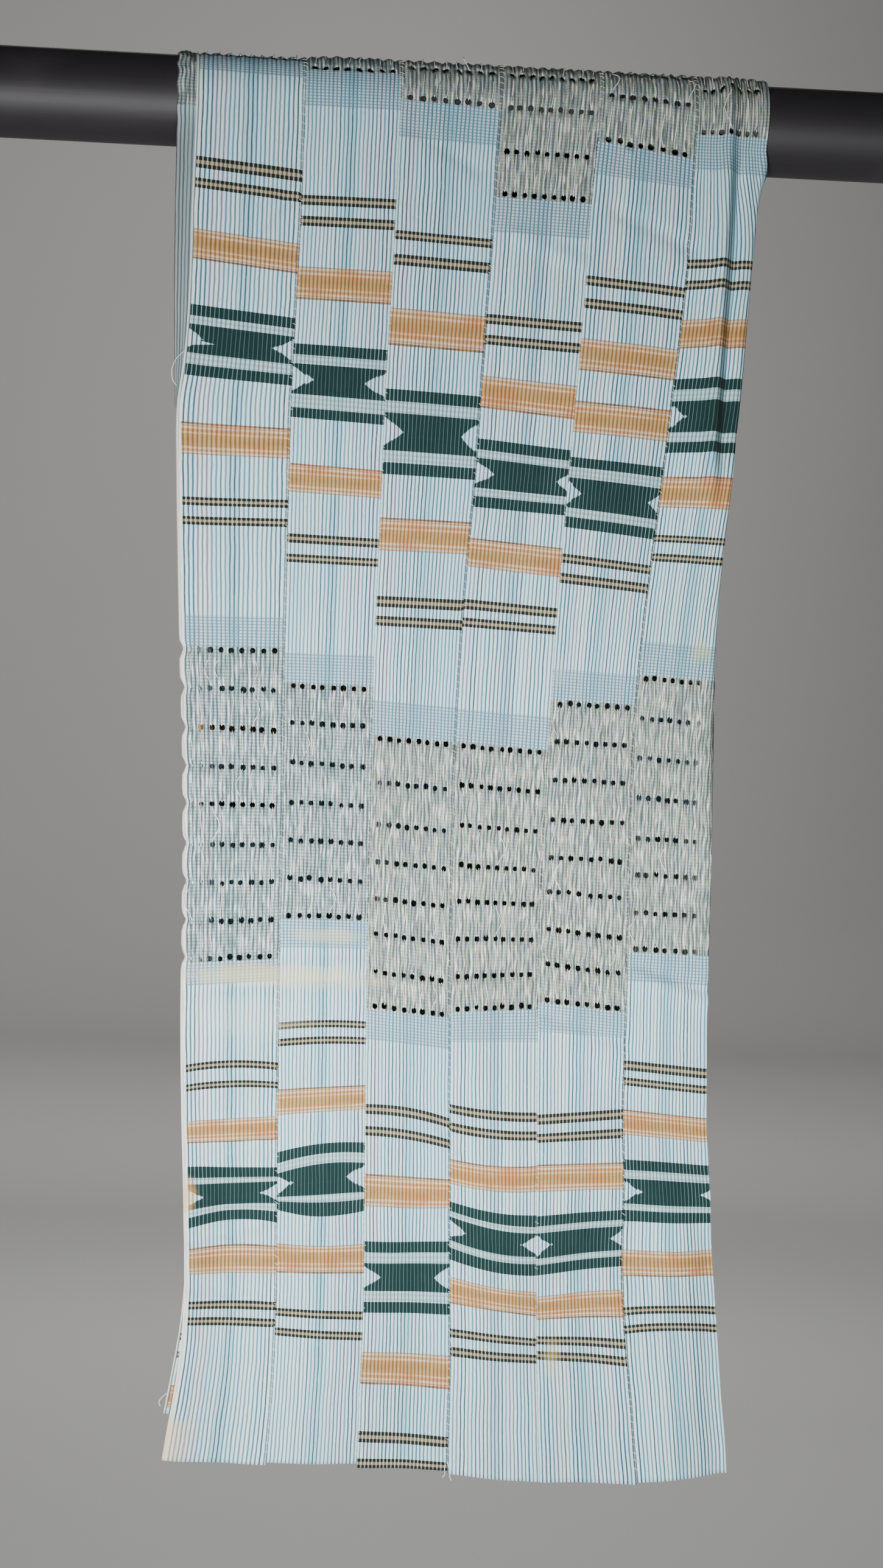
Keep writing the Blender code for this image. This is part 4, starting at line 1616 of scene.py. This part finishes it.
@dataclass
class Tubes:
    """Many thin strands in one mesh, each with the same few sides and closed ends."""

    sides: int = 4
    batches: list[np.ndarray] = field(default_factory=list)

    def add(self, paths: np.ndarray, radii: np.ndarray) -> None:
        """Adds strands of equal point count.

        Args:
            paths: their points in metres, by strand and place along it.
            radii: the radius at each of those points, in metres.
        """
        runs = np.gradient(paths, axis=1)
        runs /= np.linalg.norm(runs, axis=2, keepdims=True) + 1e-12
        helper = np.where(np.abs(runs[:, :1, 1:2]) < 0.8, [[[0.0, 1.0, 0.0]]], [[[1.0, 0.0, 0.0]]])
        first = np.cross(runs, helper)
        first /= np.linalg.norm(first, axis=2, keepdims=True) + 1e-12
        second = np.cross(runs, first)
        angles = 2.0 * math.pi * ((np.arange(self.sides + 1) % self.sides) + 0.5) / self.sides
        ring = np.cos(angles)[:, None] * first[:, :, None] + np.sin(angles)[:, None] * second[:, :, None]
        self.batches.append(paths[:, :, None] + radii[:, :, None, None] * ring)

    def rolled(self, points: np.ndarray) -> bpy.types.Mesh:
        """Rolls one grid into strands: it is parted between them, joined at its sides and closed.

        Args:
            points: the rings of a batch, by strand, place and side, with the first side again at the end.

        Returns:
            The strands' mesh.
        """
        strands, length, wide = points.shape[:3]
        bm = bmesh.new()
        bmesh.ops.create_grid(bm, x_segments=wide - 1, y_segments=strands * length - 1, size=0.5)
        bm.verts.ensure_lookup_table()
        for vert, point in zip(bm.verts, points.reshape(-1, 3)):
            vert.co = point
        rows = {face: min(vert.index for vert in face.verts) // wide for face in bm.faces}
        between = [face for face, row in rows.items() if row % length == length - 1]
        bmesh.ops.delete(bm, geom=between, context="FACES")
        bmesh.ops.remove_doubles(bm, verts=bm.verts, dist=1e-7)
        open_ends = [edge for edge in bm.edges if edge.is_boundary]
        bmesh.ops.holes_fill(bm, edges=open_ends, sides=self.sides)
        mesh = bpy.data.meshes.new("strands")
        bm.to_mesh(mesh)
        bm.free()
        return mesh

    def build(self, name: str, material: bpy.types.Material) -> bpy.types.Object:
        """Turns the strands into one piece.

        Args:
            name: the piece's name.
            material: the yarn's finish.

        Returns:
            The finished piece.
        """
        bm = bmesh.new()
        for points in self.batches:
            mesh = self.rolled(points)
            bm.from_mesh(mesh)
            bpy.data.meshes.remove(mesh)
        return finish_object(name, bm, material)


@dataclass
class OpenworkYarns:
    """White yarns that run from hole to hole down the openwork, with knots above the holes.

    Radii and lifts are in millimetres. At the back a yarn has fewer points along it and no knot.
    """

    sheet: StripSheet
    front_places: int = 7
    back_places: int = 4
    missing: float = 0.12
    loose: float = 0.06
    knotted: float = 0.75
    radii: tuple[float, float] = (0.42, 0.72)
    knot_marks: tuple[float, ...] = (-2.6, -1.4, -0.3)
    knot_radii: tuple[float, ...] = (0.35, 0.95, 0.4)
    knot_lift: float = 0.8

    def __post_init__(self) -> None:
        """Seeds the yarns' own unevenness."""
        self.random = np.random.default_rng(70 + self.sheet.strip)

    def on_cloth(self, mark: np.ndarray, across: np.ndarray, lift: np.ndarray) -> np.ndarray:
        """Gives points a little above the cloth.

        Args:
            mark: along the strip, in millimetres.
            across: share across.
            lift: how far above the cloth, in millimetres.

        Returns:
            The points, in metres.
        """
        form, strip = self.sheet.form, self.sheet.strip
        return form.place(strip, mark, across) + form.normal(strip, mark, across) * lift[..., None] * MM

    def spans(self) -> np.ndarray:
        """Lists start mark, end mark and share across of each run from a hole to the one below.

        Returns:
            One row for each run.
        """
        half = self.sheet.form.sizes.hole_length * 0.35
        found = []
        for group in self.sheet.pattern.groups:
            rows = [row for row in group if row > self.sheet.pattern.hems[0] + 6.0]
            for upper, lower in zip(rows, rows[1:]):
                found += [(upper + half, lower - half, centre) for centre in self.sheet.hole_centres()]
        return np.array(found)

    def build(self, material: bpy.types.Material) -> bpy.types.Object:
        """Builds the yarns of one strip.

        Args:
            material: the white yarn.

        Returns:
            The finished piece.
        """
        tubes = Tubes()
        spans = self.spans()
        spans = spans[self.random.random(len(spans)) > self.missing]
        front = spans[:, 0] > 0.0
        for chosen, places in ((spans[front], self.front_places), (spans[~front], self.back_places)):
            self.strands(tubes, chosen, places)
        return tubes.build(f"openwork_yarns_{self.sheet.strip}", material)

    def strands(self, tubes: Tubes, spans: np.ndarray, places: int) -> None:
        """Adds yarns between holes and, at the front, a knot above the lower hole of most.

        Args:
            tubes: what they are added to.
            spans: start mark, end mark and share across of each.
            places: how many points each has.
        """
        count = len(spans)
        start, end, centre = (spans[:, i : i + 1] for i in range(3))
        t = np.linspace(0.0, 1.0, places)[None, :]
        arch = np.sin(math.pi * t)
        loose = self.random.random((count, 1)) < self.loose
        side = self.random.choice([-1.0, 1.0], (count, 1))
        sway = self.random.normal(0.0, 0.10, (count, 1)) * arch
        sway = sway + self.random.normal(0.0, 0.05, (count, 1)) * np.sin(2.0 * math.pi * t)
        sway = (sway + np.where(loose, 0.7 * side, 0.0) * arch**2) * self.sheet.pitch
        rise = self.random.uniform(0.3, 1.0, (count, 1)) * np.where(loose, 3.2, 1.0)
        rise = rise * (1.0 + 3.2 * np.exp(-(((start + end) / 90.0) ** 2)))
        across = centre + sway
        path = self.on_cloth(start + (end - start) * t, across, 0.55 + rise * arch**2)
        thick = self.random.uniform(*self.radii, (count, 1)) * MM
        tubes.add(path, thick * (1.0 - 0.25 * np.abs(2.0 * t - 1.0)))
        if places < self.front_places:
            return
        knots = self.random.random(count) < self.knotted
        near = end[knots] + np.array([self.knot_marks])
        beside = np.repeat(across[knots, -1:], len(self.knot_marks), axis=1)
        spot = self.on_cloth(near, beside, np.full(near.shape, self.knot_lift))
        bulk = self.random.uniform(0.7, 1.15, (len(near), 1))
        tubes.add(spot, bulk * np.array([self.knot_radii]) * MM)


@dataclass
class SeamStitches:
    """Whip stitches of fine white thread that join a strip to the next one on its right.

    Pitch, radius and the distance from the hems are in millimetres, the reach is a share of the width.
    """

    form: ClothForm
    seam: int
    pitch: float = 8.5
    reach: float = 0.022
    radius: float = 0.28
    from_hem: float = 6.0

    def __post_init__(self) -> None:
        """Seeds the stitches' own unevenness."""
        self.random = np.random.default_rng(90 + self.seam)

    def build(self, material: bpy.types.Material) -> bpy.types.Object:
        """Builds the stitches of one seam.

        Args:
            material: the white yarn.

        Returns:
            The finished piece.
        """
        left, right = StripPattern(self.seam), StripPattern(self.seam + 1)
        start = max(left.hems[0], right.hems[0]) + self.from_hem
        end = min(left.hems[1], right.hems[1]) - self.from_hem
        along = np.arange(start, end, self.pitch)
        along = (along + self.random.normal(0.0, 0.6, len(along)))[:, None]
        reach = self.reach * self.random.uniform(0.8, 1.2, along.shape)
        left_side = 1.0 - reach * [[1.0, 0.5, 0.0]]
        first = self.side(self.seam, along, left_side, [-1.3, -0.6, 0.0], [0.2, 0.85, 1.0])
        second = self.side(self.seam + 1, along, reach * [[0.5, 1.0]], [0.6, 1.3], [0.85, 0.2])
        paths = np.concatenate([first, second], axis=1)
        tubes = Tubes()
        tubes.add(paths, np.full(paths.shape[:2], self.radius * MM))
        return tubes.build(f"seam_stitches_{self.seam}", material)

    def side(self, strip: int, along: np.ndarray, across: np.ndarray, shift: list, lift: list) -> np.ndarray:
        """Gives the part of every stitch that lies on one strip.

        Args:
            strip: the strip's number.
            along: where each stitch is, in millimetres along the cloth.
            across: share across of each point.
            shift: how far along each point is from the stitch's middle.
            lift: how far above the cloth each point is.

        Returns:
            The points in metres, by stitch and place.
        """
        tilt = self.form.weft[strip][0].read(along)
        mark = along + np.array([shift]) - tilt * (across - 0.5)
        inner = np.clip(across, 0.02, 0.98)
        normal = self.form.normal(strip, mark, inner)
        return self.form.place(strip, mark, across) + normal * np.array(lift)[None, :, None] * MM


# Roots of the loose ends, by x and distance along the front, and their paths from there
LOOSE_ENDS = (
    ((328, 366), ((0, 0, 0), (-8, -2, -8), (-13, -3, -20), (-12, -1, -32), (-7, 0, -38))),
    ((656, 1572), ((0, 0, 0), (1.5, -2, -6), (4, -3, -12), (3, -2, -17), (5, -3, -21))),
    ((655, 1575), ((0, 0, 0), (-2, -2, -5), (-1, -3, -11), (-4, -2, -15))),
    ((347, 1500), ((0, 0, 0), (-5, -1, -4), (-9, -2, -9), (-7, -2, -14))),
)


@dataclass
class LooseThreads:
    """The few ends that have come loose from the cloth; sizes in millimetres."""

    form: ClothForm
    radius: float = 0.42
    sides: int = 5

    def build(self, material: bpy.types.Material) -> bpy.types.Object:
        """Builds the loose ends as one piece.

        Args:
            material: the white yarn.

        Returns:
            The finished piece.
        """
        tubes = Tubes(self.sides)
        for root, path in LOOSE_ENDS:
            self.end(tubes, root, path)
        return tubes.build("loose_threads", material)

    def end(self, tubes: Tubes, root: tuple[float, float], path: tuple) -> None:
        """Adds one loose end that starts at a place on the front.

        Args:
            tubes: what it is added to.
            root: x and distance along the front, in millimetres.
            path: its points from there, in millimetres.
        """
        x, along = root
        start = np.array([x, -self.form.sizes.wrap_radius, self.form.sizes.quarter - along])
        start[1] -= float(self.form.outward(np.array([float(x)]), np.array([float(along)]))[0])
        points = (start + np.array(path, dtype=float)) * MM
        t = np.linspace(0.0, len(points) - 1.0, 4 * len(points))
        smooth = np.stack([np.interp(t, np.arange(len(points)), points[:, k]) for k in range(3)], axis=1)
        smooth[1:-1] = (smooth[:-2] + smooth[1:-1] + smooth[2:]) / 3.0
        tubes.add(smooth[None], np.full((1, len(smooth)), self.radius * MM))


@dataclass(frozen=True)
class RoundBar:
    """The painted bar that carries the cloth, turned with a small chamfer at each end."""

    radius: float = 0.050
    length: float = 1.300
    chamfer: float = 0.0025
    segments: int = 96
    rings: int = 26
    sharp_angle: float = 0.5

    def build(self, material: bpy.types.Material) -> bpy.types.Object:
        """Builds the bar by spinning its profile about its axis.

        Args:
            material: the painted finish.

        Returns:
            The finished piece.
        """
        bm = bmesh.new()
        profile = [(0.0, 0.0), (0.0, self.radius - self.chamfer), (self.chamfer, self.radius)]
        run = self.length - 2.0 * self.chamfer
        profile += [(self.chamfer + run * i / self.rings, self.radius) for i in range(1, self.rings)]
        profile += [(self.length - self.chamfer, self.radius), (self.length, self.radius - self.chamfer)]
        profile.append((self.length, 0.0))
        verts = [bm.verts.new((x, 0.0, r)) for x, r in profile]
        edges = [bm.edges.new(pair) for pair in zip(verts, verts[1:])]
        bmesh.ops.spin(
            bm, geom=verts + edges, cent=(0, 0, 0), axis=(1, 0, 0), angle=2.0 * math.pi,
            steps=self.segments, use_merge=True, use_duplicate=False,
        )
        bmesh.ops.remove_doubles(bm, verts=bm.verts, dist=1e-6)
        bmesh.ops.recalc_face_normals(bm, faces=bm.faces)
        for edge in bm.edges:
            if len(edge.link_faces) == 2 and edge.calc_face_angle(0.0) > self.sharp_angle:
                edge.smooth = False
        return finish_object("painted_bar", bm, material)


# Studio


@dataclass(frozen=True)
class Lamp:
    """A soft area light, by its place, what it faces, its size and its power."""

    name: str
    place: tuple[float, float, float]
    target: tuple[float, float, float]
    width: float
    height: float
    power: float
    spread: float = 180.0
    colour: str = "#FFFFFF"

    def build(self) -> None:
        """Puts the light into the scene."""
        data = bpy.data.lights.new(self.name, "AREA")
        data.shape = "RECTANGLE"
        data.size, data.size_y = self.width, self.height
        data.energy = self.power
        data.spread = math.radians(self.spread)
        data.color = linear(self.colour)[:3]
        lamp = bpy.data.objects.new(self.name, data)
        lamp.location = self.place
        aim = Vector(self.target) - Vector(self.place)
        lamp.rotation_euler = aim.to_track_quat("-Z", "Y").to_euler()
        bpy.context.scene.collection.objects.link(lamp)


@dataclass(frozen=True)
class Camera:
    """The photo's viewpoint: slightly from the left, level, and rolled a little."""

    target: tuple[float, float, float] = (0.6250, -0.052, -0.7465)
    distance: float = 3.2
    yaw: float = math.radians(5.0)
    roll: float = math.radians(1.9)
    lens: float = 66.86

    def build(self) -> None:
        """Puts the camera into the scene and makes it the active one."""
        look = Vector((math.sin(self.yaw), math.cos(self.yaw), 0.0))
        side = Vector((math.cos(self.yaw), -math.sin(self.yaw), 0.0))
        up = Vector((0.0, 0.0, 1.0))
        right = math.cos(self.roll) * side + math.sin(self.roll) * up
        above = -math.sin(self.roll) * side + math.cos(self.roll) * up
        data = bpy.data.cameras.new("camera")
        data.sensor_fit = "AUTO"
        data.sensor_width = 36.0
        data.lens = self.lens
        data.clip_start, data.clip_end = 0.05, 50.0
        camera = bpy.data.objects.new("camera", data)
        turn = Matrix((right, above, -look)).transposed()
        camera.matrix_world = Matrix.Translation(Vector(self.target) - self.distance * look) @ turn.to_4x4()
        bpy.context.scene.collection.objects.link(camera)
        bpy.context.scene.camera = camera


@dataclass(frozen=True)
class Studio:
    """A pale floor that sweeps up behind the cloth, with soft light; sizes in metres.

    The two lamps in front stand low, at the camera's distance. The light that they send through the rows
    of holes then falls between the rows of the back layer, so the holes look dark from the camera.
    """

    floor: float = -1.78
    front: float = -11.0
    back: float = 8.2
    left: float = -11.0
    width: float = 23.0
    bend: float = 1.6
    height: float = 8.0
    bend_steps: int = 12
    world_light: float = 0.1
    lamps: tuple[Lamp, ...] = (
        Lamp("key", (-0.3, -3.0, -1.38), (0.52, 0.0, -0.95), 0.6, 0.4, 22.0, 58.0),
        Lamp("fill", (1.0, -3.2, -1.39), (0.62, 0.0, -0.95), 1.0, 0.4, 5.6, 58.0),
        Lamp("back", (0.6, 2.3, 0.6), (0.6, 0.1, -0.7), 1.6, 1.6, 36.0),
        Lamp("backdrop", (0.6, 3.8, 2.4), (0.6, 9.2, -0.6), 3.0, 3.0, 110.0),
    )

    def build(self) -> None:
        """Builds the floor, the lights, the surroundings and the camera."""
        self.build_floor()
        self.build_world()
        for lamp in self.lamps:
            lamp.build()
        Camera().build()

    def build_floor(self) -> None:
        """Builds the floor and its sweep as one sheet."""
        bm = bmesh.new()
        profile = [(self.front, self.floor), (self.back, self.floor)]
        for i in range(1, self.bend_steps + 1):
            angle = math.pi / 2.0 * i / self.bend_steps
            rise = self.bend * (1.0 - math.cos(angle))
            profile.append((self.back + self.bend * math.sin(angle), self.floor + rise))
        profile.append((self.back + self.bend, self.height))
        verts = [bm.verts.new((self.left, y, z)) for y, z in profile]
        edges = [bm.edges.new(pair) for pair in zip(verts, verts[1:])]
        swept = bmesh.ops.extrude_edge_only(bm, edges=edges)["geom"]
        moved = [part for part in swept if isinstance(part, bmesh.types.BMVert)]
        bmesh.ops.translate(bm, verts=moved, vec=(self.width, 0.0, 0.0))
        finish_object("floor", bm, PaleStage().make())

    def build_world(self) -> None:
        """Sets plain pale surroundings."""
        world = bpy.data.worlds.new("studio")
        world.use_nodes = True
        background = world.node_tree.nodes["Background"]
        background.inputs["Color"].default_value = linear("#E4E6E8")
        background.inputs["Strength"].default_value = self.world_light
        bpy.context.scene.world = world


def main() -> None:
    """Builds the bar, the cloth and the studio in order."""
    logging.basicConfig(level=logging.INFO, format="%(message)s")
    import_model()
    sizes = ClothSizes()
    form = ClothForm(sizes)
    cotton, yarn = CottonWeave(sizes).make(), WhiteYarn().make()

    bar = RoundBar().build(DarkPaint().make())
    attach(bar, "root")
    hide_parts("bar")
    log.info("bar: %d faces", len(bar.data.polygons))

    stitches = [SeamStitches(form, seam).build(yarn) for seam in range(1, STRIPS)]
    threads = LooseThreads(form).build(yarn)
    for piece in stitches + [threads]:
        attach(piece, "root")
        log.info("%s: %d faces", piece.name, len(piece.data.polygons))

    edge = FoldedEdge(form).build(cotton)
    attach(edge, "root")
    log.info("folded_edge: %d faces", len(edge.data.polygons))

    for strip in range(1, STRIPS + 1):
        sheet = StripSheet(form, strip)
        woven = sheet.build(cotton)
        yarns = OpenworkYarns(sheet).build(yarn)
        for piece in (woven, yarns):
            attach(piece, "root")
            log.info("%s: %d faces", piece.name, len(piece.data.polygons))
        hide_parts(f"strip_{strip}")

    Studio().build()
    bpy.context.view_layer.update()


if __name__ == "__main__":
    main()
